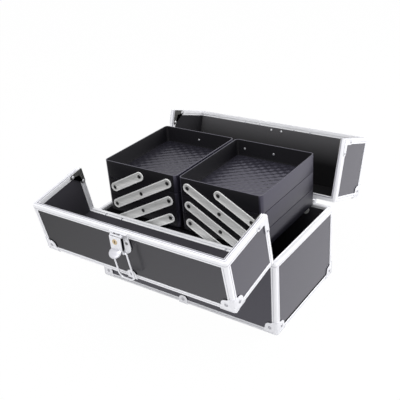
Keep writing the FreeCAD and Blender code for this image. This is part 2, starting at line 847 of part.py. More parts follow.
def make_rear_fittings():
    """The catch, the handle brackets and the handle."""
    swing = lid_swing("rear")
    depth = LID_DEPTH["rear"]

    def from_split(near, far):
        return y_span("rear", f"{depth} - ({far})", f"{depth} - ({near})")

    catch = new_body("latch_catch")
    block(
        catch, "Additive", centred("catch_half"), from_split("catch_near", "catch_far"),
        (TOP, f"{TOP} + latch_plate"),
    )
    block(
        catch, "Additive", centred("hook_half"), from_split("hook_near", "hook_far"),
        (TOP, f"{TOP} + hook_high"),
    )
    block(
        catch, "Additive", centred("hook_half"), from_split("hook_near", "hook_tip"),
        (f"{TOP} + hook_low", f"{TOP} + hook_high"),
    )
    keep(catch, "latch_catch", swing)

    axis_y = from_split("handle_set_back", "handle_set_back")[0]
    axis_z = f"{TOP} + handle_axis_height"
    pieces = []
    for hand in HANDS:
        middle = f"{hand_sign(hand)}handle_place"
        plate = new_body(f"handle_bracket_{hand}")
        block(
            plate, "Additive", (f"{middle} - handle_plate_half", f"{middle} + handle_plate_half"),
            from_split("handle_plate_near", "handle_plate_far"), (TOP, f"{TOP} + latch_plate"),
        )
        ears = (
            (f"{middle} - handle_ear_far", f"{middle} - handle_ear_near"),
            (f"{middle} + handle_ear_near", f"{middle} + handle_ear_far"),
        )
        for ends in ears:
            ear_y = (f"{axis_y} - handle_ear_round", f"{axis_y} + handle_ear_round")
            block(plate, "Additive", ends, ear_y, (TOP, axis_z))
            rod(plate, "Additive", "x", "handle_ear_round", ends, axis_y, axis_z)
        run = (f"{middle} - handle_ear_far", f"{middle} + handle_ear_far")
        rod(plate, "Subtractive", "x", "handle_pin_radius", run, axis_y, axis_z)
        pin = new_body(f"handle_pin_{hand}")
        run = (f"{middle} - handle_pin_half", f"{middle} + handle_pin_half")
        rod(pin, "Additive", "x", "handle_pin_radius", run, axis_y, axis_z)
        pieces += [plate, pin]
    group("handle_brackets", pieces, swing)

    # The handle is drawn from its own axis, pointing to +Y, and hangs straight down.
    handle = new_body("handle")
    rod(handle, "Additive", "x", "grip_radius", centred("grip_half"), "handle_reach", "0")
    for hand in HANDS:
        middle = f"{hand_sign(hand)}handle_place"
        run = (f"{middle} - handle_arm_half", f"{middle} + handle_arm_half")
        block(handle, "Additive", run, ("0", "handle_reach"), centred("handle_eye_radius"))
        rod(handle, "Additive", "x", "handle_eye_radius", run, "0", "0")
    for hand in HANDS:
        middle = f"{hand_sign(hand)}handle_place"
        run = (f"{middle} - handle_arm_half", f"{middle} + handle_arm_half")
        rod(handle, "Subtractive", "x", "handle_pin_radius + pin_play", run, "0", "0")
    split_y = -SIZES["case_depth"] / 2 + SIZES["front_lid_depth"] + SIZES["split_gap"]
    closed = FreeCAD.Vector(
        0, split_y + SIZES["handle_set_back"], top_level() + SIZES["handle_axis_height"]
    )
    keep(handle, "handle", FreeCAD.Placement(swing.multVec(closed), FreeCAD.Rotation(X_AXIS, -90)))


def make_tray(hand, name, level, pivots):
    """One tray with the pivot rivets through its front and rear walls."""
    inner = SIZES["tray_centre_gap"]
    outer = inner + SIZES["tray_width"]
    half = half_case()[1] - SIZES["rim_width"] - SIZES["tray_side_room"]
    sign = -1 if hand == "left" else 1
    low = tray_level(level)

    def x_run(inset):
        near = f"tray_centre_gap + ({inset})"
        far = f"tray_centre_gap + tray_width - ({inset})"
        return (near, far) if hand == "right" else (f"-({far})", f"-({near})")

    tray = new_body(f"{hand}_{name}_tray")
    block(tray, "Additive", x_run("0"), centred("tray_half"), (low, f"{low} + tray_height"))
    corners = [(sign * x, y) for x in (inner, outer) for y in (-half, half)]
    round_edges(tray, "tray_round", "z", corners)
    block(
        tray, "Subtractive", x_run("tray_wall"), centred("tray_half - tray_wall"),
        (f"{low} + tray_wall", f"{low} + tray_height"),
    )
    level_z = f"{low} + pivot_rise"
    for step in pivots:
        rod(
            tray, "Subtractive", "y", "stem_radius", pivot_x(hand, step),
            centred("tray_half"), level_z,
        )
    keep(tray, f"{hand}_{name}_tray")

    rivets = []
    past = "arm_gap + arm_thick + head_gap"
    for side in SIDES:
        for step in pivots:
            item = new_body(f"{hand}_{name}_rivet_{side}_{step}")
            for radius, near, far in (
                ("stem_radius", "-tray_wall - head_thick", f"{past} + head_thick"),
                ("head_radius", past, f"{past} + head_thick"),
                ("head_radius", "0", "arm_gap - head_gap / 2"),
                ("head_radius", "-tray_wall - head_thick", "-tray_wall"),
            ):
                rod(item, "Additive", "y", radius, pivot_x(hand, step), from_tray(side, near, far), level_z)
            rivets.append(item)
    group(f"{hand}_{name}_tray_rivets", rivets)


def make_arms(hand, name, low_level, low_step, spans):
    """A front and a rear arm that move together, from their lower pivot up towards the middle."""
    span = "sqrt(pivot_pitch * pivot_pitch + tray_pitch * tray_pitch)"
    rise, run = pivot_steps()
    lean = math.degrees(math.atan2(rise, run))
    sign = -1 if hand == "left" else 1
    x = sign * (SIZES["pivot_inner"] + low_step * run)
    z = SIZES["base_height"] + SIZES["tray_lift"] + low_level * rise + SIZES["pivot_rise"]
    angle = 180 + lean if hand == "right" else -lean
    place = FreeCAD.Placement(FreeCAD.Vector(x, 0, z), FreeCAD.Rotation(Y_AXIS, angle))
    arms = []
    for side in SIDES:
        arm = new_body(f"{hand}_{name}_{side}")
        thick = from_tray(side, "arm_gap", "arm_gap + arm_thick")
        block(arm, "Additive", ("0", f"{spans} * {span}"), thick, centred("arm_width / 2"))
        for end in (0, spans):
            rod(arm, "Additive", "y", "arm_width / 2", f"{end} * {span}", thick, "0")
        for step in range(spans + 1):
            rod(arm, "Subtractive", "y", "stem_radius + stem_play", f"{step} * {span}", thick, "0")
        arm.Placement = place
        arms.append(arm)
    group(f"{hand}_{name}", arms)


def make_trays(hand):
    """One stack of three trays and its arms."""
    make_tray(hand, "bottom", 0, (0, 1, 2))
    make_tray(hand, "middle", 1, (0, 1, 2))
    make_tray(hand, "top", 2, (0, 1))
    make_arms(hand, "lower_short_arms", -1, 1, 1)
    make_arms(hand, "lower_long_arms", -1, 2, 2)
    make_arms(hand, "upper_long_arms", 0, 2, 2)
    make_arms(hand, "upper_short_arms", 1, 2, 1)


make_base()
for lid in SIDES:
    make_lid(lid)
make_latch()
make_rear_fittings()
for stack in HANDS:
    make_trays(stack)
DOC.recompute()

for piece in DOC.Objects:
    if {"Invalid", "Error"} & set(piece.State):
        raise RuntimeError(f"{piece.Name} did not build: {piece.State}")
for node in NODES:
    if node.Shape.isNull() or not node.Shape.isValid():
        raise RuntimeError(f"{node.Label} has no valid shape")
os.makedirs("parts", exist_ok=True)
for node in NODES:
    node.Shape.exportStep(f"parts/{node.Label}.step")
print(len(NODES), "pieces written")
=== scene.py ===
"""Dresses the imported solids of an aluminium-edged makeup train case.

Lengths are millimetres until a mesh is made. X runs along the width, the front faces -Y and +Z is
up. Lid pieces are worked out with the lids closed and then swung open about their hinge pins.
"""

import logging
import math
from dataclasses import dataclass
from enum import Enum
from typing import Any, Callable, Sequence

import bmesh
import bpy
import numpy as np
from mathutils import Matrix, Vector

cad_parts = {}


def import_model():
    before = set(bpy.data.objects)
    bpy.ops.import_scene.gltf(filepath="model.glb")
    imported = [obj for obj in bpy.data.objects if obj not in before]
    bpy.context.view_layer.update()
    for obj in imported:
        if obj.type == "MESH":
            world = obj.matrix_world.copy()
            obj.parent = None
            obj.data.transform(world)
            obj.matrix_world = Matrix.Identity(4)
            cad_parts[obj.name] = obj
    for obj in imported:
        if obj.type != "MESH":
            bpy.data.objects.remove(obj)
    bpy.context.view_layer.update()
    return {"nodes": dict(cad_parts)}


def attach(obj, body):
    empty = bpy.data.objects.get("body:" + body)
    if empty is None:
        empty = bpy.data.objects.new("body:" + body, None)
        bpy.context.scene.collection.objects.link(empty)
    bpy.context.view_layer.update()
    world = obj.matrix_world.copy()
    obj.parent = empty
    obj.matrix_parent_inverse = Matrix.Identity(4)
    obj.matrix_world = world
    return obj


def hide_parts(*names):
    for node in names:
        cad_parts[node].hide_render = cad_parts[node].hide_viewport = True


LOG = logging.getLogger("train_case")
MILLIMETRE = 0.001
WELD = 1e-8  # metres within which points become one
GRAIN_DETAIL = 4.0  # layers of noise in a grain
GRAIN_STOPS = (0.3, 0.7)  # where the darker and the lighter tone of a grain stand
SINK = 0.05  # how far a head sinks into its plate
EASE = 0.1  # keeps the two arcs of a half-round end apart
HEAD_SIZE = (3.2, 1.1)  # radius and rise of a rivet head outside the case
TAIL_SIZE = (2.2, 0.8)  # and of a rivet tail inside it
SCREW_SIZE = (2.4, 0.8)  # and of a screw head
HEAD_POINTS = 18  # points round a head
DOME_TURNS = (0.0, 12.0, 28.0, 45.0, 62.0, 80.0)  # degrees up a rivet head
# Inset and height up a screw head, as shares of its radius and its rise.
SCREW_SHARES = ((0.0, 0.0), (0.0, 0.5), (0.2, 1.0), (0.5, 1.0), (0.7, 0.4))
SECOND, THIRD = 1, 2  # finish numbers after the first, which is 0
ARM_LEAN = 28.63  # slope of the folded tray arms in degrees

Array = np.ndarray
Axis = tuple[float, float, float]
Span = tuple[float, float]


class Side(Enum):
    """The front or the rear half of the case, with the sign of its y."""

    FRONT = -1
    REAR = 1


class Hand(Enum):
    """The left or the right end of the case, with the sign of its x."""

    LEFT = -1
    RIGHT = 1


def preset(node: bpy.types.Node, values: dict[str | int, Any]) -> bpy.types.Node:
    """Gives inputs of a shader node constant values.

    Args:
        node: The node.
        values: Values by the input's name or number.

    Returns:
        The node.
    """
    for socket, value in values.items():
        node.inputs[socket].default_value = value
    return node


def add_node(
    tree: bpy.types.NodeTree, kind: str, values: dict[str | int, Any] | None = None,
    sum_kind: str = "",
) -> bpy.types.Node:
    """Adds a shader node.

    Args:
        tree: The node tree.
        kind: The node's type, without the words that all types start with.
        values: Constant values by input.
        sum_kind: What a math node works out.

    Returns:
        The node.
    """
    node = tree.nodes.new(f"ShaderNode{kind}")
    if sum_kind:
        node.operation = sum_kind
    return preset(node, values or {})


def link(
    tree: bpy.types.NodeTree, *pairs: tuple[bpy.types.NodeSocket, bpy.types.NodeSocket],
) -> None:
    """Joins outputs to inputs, given in pairs."""
    for output, target in pairs:
        tree.links.new(output, target)


@dataclass(frozen=True)
class Finish:
    """A surface finish: a base colour with fine grain in its tone and its relief.

    The grain is noise on object coordinates, scaled by stretch after a turn about Y. A fade paints
    shade: it holds a low and a high place along an axis and the share of tone and sheen that is
    left at the low one.
    """

    name: str
    colour: Axis
    roughness: float
    metallic: float = 0.0
    specular: float = 0.5
    grain: float = 600.0
    shade: float = 0.06
    relief: float = 0.02
    stretch: Axis = (1.0, 1.0, 1.0)
    turn: float = 0.0
    tint: Axis = (1.0, 1.0, 1.0)
    fade: tuple[float, ...] = ()
    fade_axis: str = "Z"

    def material(self) -> bpy.types.Material:
        """Builds the node material, or returns the one already built.

        Returns:
            The material of this finish.
        """
        found = bpy.data.materials.get(self.name)
        if found is not None:
            return found
        made = bpy.data.materials.new(self.name)
        made.use_nodes = True
        tree = made.node_tree
        shader = preset(tree.nodes["Principled BSDF"], {
            "Roughness": self.roughness, "Metallic": self.metallic,
            "Specular IOR Level": self.specular, "Specular Tint": (*self.tint, 1.0),
        })
        place = add_node(tree, "TexCoord").outputs["Object"]
        turned = (0.0, math.radians(self.turn), 0.0)
        mapping = add_node(tree, "Mapping", {"Rotation": turned, "Scale": self.stretch})
        noise = add_node(tree, "TexNoise", {"Scale": self.grain, "Detail": GRAIN_DETAIL})
        ramp = add_node(tree, "ValToRGB")
        changes = (-self.shade, self.shade)
        for element, where, change in zip(ramp.color_ramp.elements, GRAIN_STOPS, changes):
            element.position = where
            element.color = (*(min(1.0, tone * (1.0 + change)) for tone in self.colour), 1.0)
        bump = add_node(tree, "Bump", {"Strength": self.relief, "Distance": MILLIMETRE})
        tone = ramp.outputs["Color"]
        link(
            tree,
            (place, mapping.inputs["Vector"]),
            (mapping.outputs["Vector"], noise.inputs["Vector"]),
            (noise.outputs["Fac"], ramp.inputs["Fac"]),
            (noise.outputs["Fac"], bump.inputs["Height"]),
            (bump.outputs["Normal"], shader.inputs["Normal"]),
            (self.faded(tree, place, tone) if self.fade else tone, shader.inputs["Base Color"]),
        )
        return made

    def faded(
        self, tree: bpy.types.NodeTree, place: bpy.types.NodeSocket, tone: bpy.types.NodeSocket,
    ) -> bpy.types.NodeSocket:
        """Paints shade: lets tone and sheen fall off towards the low place.

        Args:
            tree: The material's nodes.
            place: The object coordinates.
            tone: The colour to be darkened.

        Returns:
            The darkened colour.
        """
        low, high, share = self.fade
        split = add_node(tree, "SeparateXYZ")
        level = add_node(tree, "MapRange", {
            "From Min": low * MILLIMETRE, "From Max": high * MILLIMETRE, "To Min": share,
        })
        dim = add_node(tree, "Math", {1: self.specular}, "MULTIPLY")
        dark = add_node(tree, "VectorMath", sum_kind="SCALE")
        link(
            tree,
            (place, split.inputs["Vector"]),
            (split.outputs[self.fade_axis], level.inputs["Value"]),
            (level.outputs["Result"], dim.inputs[0]),
            (level.outputs["Result"], dark.inputs["Scale"]),
            (tone, dark.inputs["Vector"]),
            (dim.outputs["Value"], tree.nodes["Principled BSDF"].inputs["Specular IOR Level"]),
        )
        return dark.outputs["Vector"]


ALUMINIUM = Finish(
    "satin_edge_aluminium", (0.775, 0.775, 0.8), 0.4, 0.25, grain=900.0, shade=0.015,
)
# Painted shade: a darker tone for the bottoms of the grooves in the edges.
GROOVE_SHADE = Finish("edge_groove_shade", (0.47, 0.465, 0.51), 0.5, 0.3, grain=900.0)
BOARD = Finish(
    "charcoal_laminate", (0.018, 0.0172, 0.0215), 0.27, specular=0.88, grain=1500.0, shade=0.1,
    tint=(0.84, 0.82, 0.96),
)
# Painted light: a lighter, shinier copy of the laminate for the end panels.
END_BOARD_LIT = Finish(
    "end_laminate_painted_light", (0.036, 0.034, 0.044), 0.27, specular=0.95, grain=1500.0, shade=0.1,
    tint=(0.84, 0.82, 0.96),
)
# Painted shade: a darker, duller copy of the laminate for the front lid panel, darker still to the
# left.
FRONT_BOARD_SHADED = Finish(
    "front_lid_laminate_painted_shade", (0.015, 0.0146, 0.0175), 0.27, specular=0.72, grain=1500.0, shade=0.1,
    tint=(0.86, 0.84, 0.94), fade=(-190.0, 190.0, 0.32), fade_axis="X",
)
LINING = Finish(
    "black_lining_cloth", (0.033, 0.031, 0.038), 0.85, specular=0.2, grain=2200.0, relief=0.15,
)
# Painted shade: a darker copy of the lining for the end faces inside the rear lid.
END_LINING_SHADED = Finish(
    "end_lining_painted_shade", (0.013, 0.0125, 0.015), 0.85, specular=0.2, grain=2200.0, relief=0.15,
)
# Painted light and shade: a much lighter copy of the lining for the rear lid, darker towards the
# bottom.
REAR_LINING_LIT_AND_SHADED = Finish(
    "rear_lining_painted_light_and_shade", (0.13, 0.127, 0.134), 0.8, specular=0.2, grain=2200.0, relief=0.15,
    fade=(150.0, 236.0, 0.06),
)
STEEL = Finish("plated_fittings", (0.765, 0.765, 0.8), 0.26, 0.5, grain=700.0, shade=0.03)
TONGUE_STEEL = Finish("plated_tongue", (0.6, 0.6, 0.64), 0.3, 0.5, grain=700.0, shade=0.05)
RIVET = Finish("plated_rivet_heads", (0.4, 0.4, 0.43), 0.26, 0.75, grain=900.0)
TAIL = Finish("bright_rivet_tails", (0.52, 0.52, 0.54), 0.3, 0.6, grain=900.0)
# Tray plastic with painted shade: darker and less shiny lower down the stack.
TRAY_SHADED_LOW = Finish(
    "black_tray_plastic_painted_shade", (0.015, 0.0142, 0.0215), 0.28, specular=1.0, grain=1700.0, relief=0.03,
    tint=(0.8, 0.76, 1.0), fade=(150.0, 222.0, 0.3),
)
# Painted shade: the embossed floor is darker and less shiny towards the left stack.
TRAY_FLOOR_SHADED = Finish(
    "embossed_tray_floor_painted_shade", (0.02, 0.019, 0.027), 0.3, specular=1.0, grain=1700.0, relief=0.03,
    tint=(0.8, 0.76, 1.0), fade=(-155.0, 155.0, 0.5), fade_axis="X",
)
# Painted shade: a darker, duller copy of the tray plastic for the front and rear faces and inner
# walls.
TRAY_PAINTED_SHADE = Finish(
    "tray_face_painted_shade", (0.0075, 0.0072, 0.009), 0.4, specular=0.13, grain=1700.0, relief=0.05,
)
ARM_EDGE = Finish("arm_border_steel", (0.9, 0.9, 0.89), 0.34, 0.15, grain=800.0)
ARM_FACES = {
    hand: Finish(
        f"brushed_arm_{hand.name.lower()}", (0.7, 0.7, 0.685), 0.42, 0.15, grain=140.0, shade=0.12,
        relief=0.03, stretch=(0.12, 1.0, 4.0), turn=ARM_LEAN * hand.value,
    )
    for hand in Hand
}
BRASS = Finish("turned_brass", (0.56, 0.44, 0.28), 0.34, 0.7, grain=900.0)
BLACK = Finish("blackened_metal", (0.012, 0.012, 0.013), 0.32, 0.2, grain=900.0)
BRACKET = Finish("dark_bracket_steel", (0.1, 0.1, 0.095), 0.36, 0.7, grain=500.0, shade=0.3)
GRIP = Finish("moulded_grip", (0.02, 0.02, 0.021), 0.45, grain=1600.0, relief=0.08)
SHADE = Finish("keyway_and_seam_shade", (0.008, 0.0075, 0.008), 0.8, specular=0.1)


@dataclass
class Shell:
    """One surface: points, faces as index arrays and a finish number for each array."""

    points: Array
    faces: list[Array]
    tones: list[int]

    def outward(self) -> "Shell":
        """Turns the faces outwards: the signed volume under a closed surface is made positive.

        Returns:
            This shell.
        """
        spread = self.points - self.points.mean(axis=0)
        volume = 0.0
        for face in self.faces:
            corner = spread[face]
            fans = np.cross(corner[:, 1:-1], corner[:, 2:])
            volume += float(np.einsum("mi,mki->", corner[:, 0], fans))
        if volume < 0.0:
            self.faces = [face[:, ::-1] for face in self.faces]
        return self

    def moved(self, matrix: Array) -> "Shell":
        """Carries the shell by a 4 by 4 matrix and keeps its faces outwards.

        Args:
            matrix: The movement.

        Returns:
            A new shell.
        """
        points = self.points @ matrix[:3, :3].T + matrix[:3, 3]
        turned = np.linalg.det(matrix[:3, :3]) < 0.0
        faces = [face[:, ::-1] if turned else face for face in self.faces]
        return Shell(points, faces, list(self.tones))

    def toned(self, tone: int) -> "Shell":
        """Gives every face one finish number."""
        return Shell(self.points, self.faces, [tone] * len(self.faces))

    def painted(self, chosen: Callable[[Array], Array], tone: int) -> "Shell":
        """Gives some faces another finish number.

        Args:
            chosen: Takes the middles of faces and says which of them are meant.
            tone: Their finish number.

        Returns:
            A new shell.
        """
        faces = []
        for face in self.faces:
            mark = chosen(self.points[face].mean(axis=1))
            faces += [face[~mark], face[mark]]
        return Shell(self.points, faces, [new for old in self.tones for new in (old, tone)])


def placed(shells: Sequence[Shell], matrix: Array) -> list[Shell]:
    """Carries several shells by one matrix."""
    return [shell.moved(matrix) for shell in shells]


def joined(shells: Sequence[Shell]) -> Shell:
    """Gathers several shells into one.

    Args:
        shells: The shells, which stay separate surfaces.

    Returns:
        One shell with all their points and faces.
    """
    starts = np.cumsum([0] + [len(shell.points) for shell in shells])
    faces = [face + start for shell, start in zip(shells, starts) for face in shell.faces]
    tones = [tone for shell in shells for tone in shell.tones]
    return Shell(np.concatenate([shell.points for shell in shells]), faces, tones)


def carried(
    rows: Array, ring: bool = False, bands: Sequence[int] = (), strips: Sequence[int] = (),
) -> Shell:
    """Joins a stack of equal closed outlines into a surface; an open stack gets flat ends.

    Args:
        rows: Outlines by station, points by outline and three coordinates.
        ring: Whether the last station meets the first.
        bands: A finish number for each gap between stations and then for the two ends.
        strips: A finish number for each edge of the outline instead, with 0 for the two ends.

    Returns:
        The closed shell.
    """
    index = np.arange(rows.shape[0] * rows.shape[1]).reshape(rows.shape[:2])
    grid = np.concatenate([index, index[:, :1]], axis=1)
    if ring:
        grid = np.concatenate([grid, grid[:1]])
    quads = np.stack([grid[:-1, :-1], grid[:-1, 1:], grid[1:, 1:], grid[1:, :-1]], axis=-1)
    faces = list(quads.swapaxes(0, 1) if len(strips) else quads)
    if not ring:
        faces += [index[:1, ::-1], index[-1:]]
    tones = [int(tone) for tone in (strips if len(strips) else bands)][:len(faces)]
    tones += [0] * (len(faces) - len(tones))
    return Shell(rows.reshape(-1, 3), faces, tones).outward()


def circle(radius: float, count: int = 24) -> Array:
    """Points of a circle about the origin, counted anticlockwise."""
    turn = np.linspace(0.0, 2.0 * np.pi, count, endpoint=False)
    return radius * np.column_stack([np.cos(turn), np.sin(turn)])


def filleted(corners: Sequence[Axis], steps: int = 6) -> Array:
    """A closed outline with rounded corners.

    Each corner gives way to an arc that touches both of its edges: the arc's middle lies on the
    line that halves the corner, radius / sin(half angle) away from it.

    Args:
        corners: x, y and radius of each corner, anticlockwise.
        steps: Pieces in each arc.

    Returns:
        The outline's points.
    """
    table = np.array(corners, float)
    spot, radius = table[:, :2], table[:, 2:]
    back = np.roll(spot, 1, axis=0) - spot
    ahead = np.roll(spot, -1, axis=0) - spot
    back /= np.linalg.norm(back, axis=1, keepdims=True)
    ahead /= np.linalg.norm(ahead, axis=1, keepdims=True)
    half = np.arccos(np.clip((back * ahead).sum(axis=1, keepdims=True), -1.0, 1.0)) / 2.0
    middle_way = back + ahead
    middle_way /= np.linalg.norm(middle_way, axis=1, keepdims=True)
    centre = spot + middle_way * radius / np.sin(half)
    first = spot + back * radius / np.tan(half) - centre
    last = spot + ahead * radius / np.tan(half) - centre
    start = np.arctan2(first[:, 1], first[:, 0])
    sweep = np.arctan2(last[:, 1], last[:, 0]) - start
    sweep = (sweep + np.pi) % (2.0 * np.pi) - np.pi
    angle = start[:, None] + sweep[:, None] * np.linspace(0.0, 1.0, steps + 1)
    arcs = centre[:, None] + radius[:, None] * np.stack([np.cos(angle), np.sin(angle)], axis=-1)
    return arcs.reshape(-1, 2)


def slab(x: Span, y: Span, rounds: Span, steps: int = 6) -> Array:
    """A rectangle by its x and y, with radii for its two lower and its two upper corners."""
    low, high = [(end, y[0], rounds[0]) for end in x], [(end, y[1], rounds[1]) for end in x]
    return filleted([*low, *reversed(high)], steps)


def box_outline(half_x: float, half_y: float, radius: float, steps: int = 6) -> Array:
    """A rectangle about the origin with four equal rounded corners."""
    return slab((-half_x, half_x), (-half_y, half_y), (radius, radius), steps)


def offset(outline: Array, inset: float) -> Array:
    """Moves a closed outline inwards by shifting each point along its two edge normals.

    The shift is inset * (n1 + n2) / (1 + n1.n2), which keeps straight edges parallel.

    Args:
        outline: Points counted anticlockwise.
        inset: The distance, negative for outwards.

    Returns:
        The moved outline.
    """
    least_length, least_share = 1e-9, 0.4
    edge = np.roll(outline, -1, axis=0) - outline
    normal = np.column_stack([-edge[:, 1], edge[:, 0]])
    normal /= np.maximum(np.linalg.norm(normal, axis=1, keepdims=True), least_length)
    before = np.roll(normal, 1, axis=0)
    share = 1.0 + (normal * before).sum(axis=1, keepdims=True)
    return outline + inset * (normal + before) / np.maximum(share, least_share)


def stacked(outline: Array, layers: Sequence[Span], bands: Sequence[int] = ()) -> Shell:
    """A solid whose outline is drawn in or let out from layer to layer.

    Args:
        outline: The closed outline, anticlockwise.
        layers: Inset and height of each layer.
        bands: Finish numbers, as for carried.

    Returns:
        The closed shell.
    """
    rows = [
        np.column_stack([offset(outline, inset), np.full(len(outline), level)])
        for inset, level in layers
    ]
    return carried(np.stack(rows), bands=bands)


def sheet(outline: Array, thick: float, soft: float = 0.3) -> Shell:
    """A flat plate with softened edges, from height 0 to its thickness."""
    return stacked(outline, [(soft, 0.0), (0.0, soft), (0.0, thick - soft), (soft, thick)])


def dome(radius: float, rise: float) -> Shell:
    """A rivet head: the height rise * sin stands over the radius * cos."""
    layers = [(radius * (1.0 - math.cos(a)), rise * math.sin(a)) for a in np.radians(DOME_TURNS)]
    return stacked(circle(radius, HEAD_POINTS), layers)


def screw_head(radius: float, rise: float) -> Shell:
    """A screw head with a dished middle, from shares of its radius and its rise."""
    layers = [(radius * inset, rise * level) for inset, level in SCREW_SHARES]
    return stacked(circle(radius, HEAD_POINTS), layers)


def frame(origin: Axis, x_way: Axis, y_way: Axis, z_way: Axis) -> Array:
    """The matrix that takes local axes to given directions.

    Args:
        origin: Where the local origin goes.
        x_way: The direction of local x.
        y_way: The direction of local y.
        z_way: The direction of local z.

    Returns:
        The 4 by 4 matrix.
    """
    matrix = np.eye(4)
    matrix[:3, :3] = np.array([x_way, y_way, z_way], float).T
    matrix[:3, 3] = origin
    return matrix


def shift(x: float, y: float, z: float) -> Array:
    """The matrix of a move."""
    return frame((x, y, z), *np.eye(3))


def level_place(spot: Axis, sign: int = 1) -> Array:
    """A place on a level face, with local z up or, with sign -1, down."""
    return frame(spot, (1, 0, 0), (0, 1, 0), (0, 0, sign))


def wall_place(spot: Axis, sign: int) -> Array:
    """A place on a front or rear face: x stays, local y is up and local z is y times sign."""
    return frame(spot, (1, 0, 0), (0, 0, 1), (0, sign, 0))


def end_place(spot: Axis, sign: int = 1) -> Array:
    """A place on an end face: local x is y, local y is up and local z is x times sign."""
    return frame(spot, (0, 1, 0), (0, 0, 1), (sign, 0, 0))


def turned_x(degrees: float, y: float = 0.0, z: float = 0.0) -> Array:
    """The matrix of a turn about the line along X that passes through y and z."""
    centre = Matrix.Translation((0.0, y, z))
    return np.array(centre @ Matrix.Rotation(math.radians(degrees), 4, "X") @ centre.inverted())


def bar(profile: Array, place: Array, start: float, end: float) -> Shell:
    """A straight extrusion.

    Args:
        profile: Local x and y of its outline, and the finish number of each edge if there is one.
        place: The matrix that carries it.
        start: Local z of one end.
        end: Local z of the other end.

    Returns:
        The closed shell.
    """
    rows = [np.column_stack([profile[:, :2], np.full(len(profile), z)]) for z in (start, end)]
    strips = profile[:, 2] if profile.shape[1] > 2 else ()
    return carried(np.stack(rows), strips=strips).moved(place)


def bend(inset: Array, radius: float, quadrant: tuple[int, int], angles: Array) -> Array:
    """Corner stations of a profile carried round a bend.

    A point at an inset smaller than the radius follows an arc of what is left of the radius, and a
    point further in follows a tight arc, so that no two stations coincide.

    Args:
        inset: Distance of each profile point inside the outer face.
        radius: Outer radius of the bend.
        quadrant: Signs of the corner's two axes.
        angles: Station angles in radians.

    Returns:
        Offsets from the bend's middle: stations, points and two coordinates.
    """
    tight = 0.3
    left = radius - inset
    reach = np.maximum(left, tight)
    pulled = np.minimum(left, tight) - tight
    way = np.stack([np.cos(angles), np.sin(angles)], axis=-1)
    return reach[None, :, None] * way[:, None] + pulled[None, :, None] * np.array(quadrant)


def swept(
    profile: Array, half_x: float, crown: float, radius: float, foot: float | None = None,
    steps: int = 6,
) -> Shell:
    """A profile carried round a rectangle, or up one leg, across a crown and down the other leg.

    Args:
        profile: Inset from the outer face, level along local z and finish number of each edge.
        half_x: Half the width.
        crown: Local y of the outer face across the top, and with no foot half the depth.
        radius: Outer corner radius.
        foot: Local y where two legs end, or None for a closed ring.
        steps: Pieces in each corner.

    Returns:
        The closed shell, with its path in the local xy plane.
    """
    inset = profile[:, 0]
    quadrants = ((1, 1), (-1, 1), (-1, -1), (1, -1))
    parts = []
    for number, quadrant in enumerate(quadrants if foot is None else quadrants[:2]):
        angles = np.radians(90.0 * number + np.linspace(0.0, 90.0, steps + 1))
        middle = np.array([half_x - radius, crown - radius]) * np.array(quadrant)
        parts.append(bend(inset, radius, quadrant, angles) + middle)
    if foot is not None:
        leg = np.stack([half_x - inset, np.full(len(inset), foot)], axis=-1)[None]
        parts = [leg, *parts, leg * np.array([-1.0, 1.0])]
    flat = np.concatenate(parts)
    level = np.broadcast_to(profile[None, :, 1:2], (*flat.shape[:2], 1))
    rows = np.concatenate([flat, level], axis=-1)
    return carried(rows, ring=foot is None, strips=profile[:, 2])


def wire(path: Array, radius: float, count: int = 12) -> Shell:
    """A round wire along a flat open path in the local xy plane.

    Each ring is the path's point + radius * (cos * the way across the path + sin * local z).

    Args:
        path: Points of the middle line.
        radius: The wire's radius.
        count: Points round the wire.

    Returns:
        The closed shell.
    """
    way = np.gradient(path, axis=0)
    way /= np.linalg.norm(way, axis=1, keepdims=True)
    across = np.column_stack([-way[:, 1], way[:, 0], np.zeros(len(way))])
    ring = circle(radius, count)
    spine = np.column_stack([path, np.zeros(len(path))])
    rows = spine[:, None] + ring[None, :, :1] * across[:, None]
    rows = rows + ring[None, :, 1:] * np.array([0.0, 0.0, 1.0])
    return carried(rows)


def plain(points: Sequence[Span]) -> list[Axis]:
    """Profile points whose edges all have the first finish."""
    return [(a, b, 0) for a, b in points]


def mirrored(points: Sequence[Axis]) -> list[Axis]:
    """The same profile on the other face, walked backwards, with each edge's finish kept."""
    tones = [0] + [tone for _, _, tone in points[:-1]]
    return [(b, a, tone) for (a, b, _), tone in zip(reversed(points), reversed(tones))]


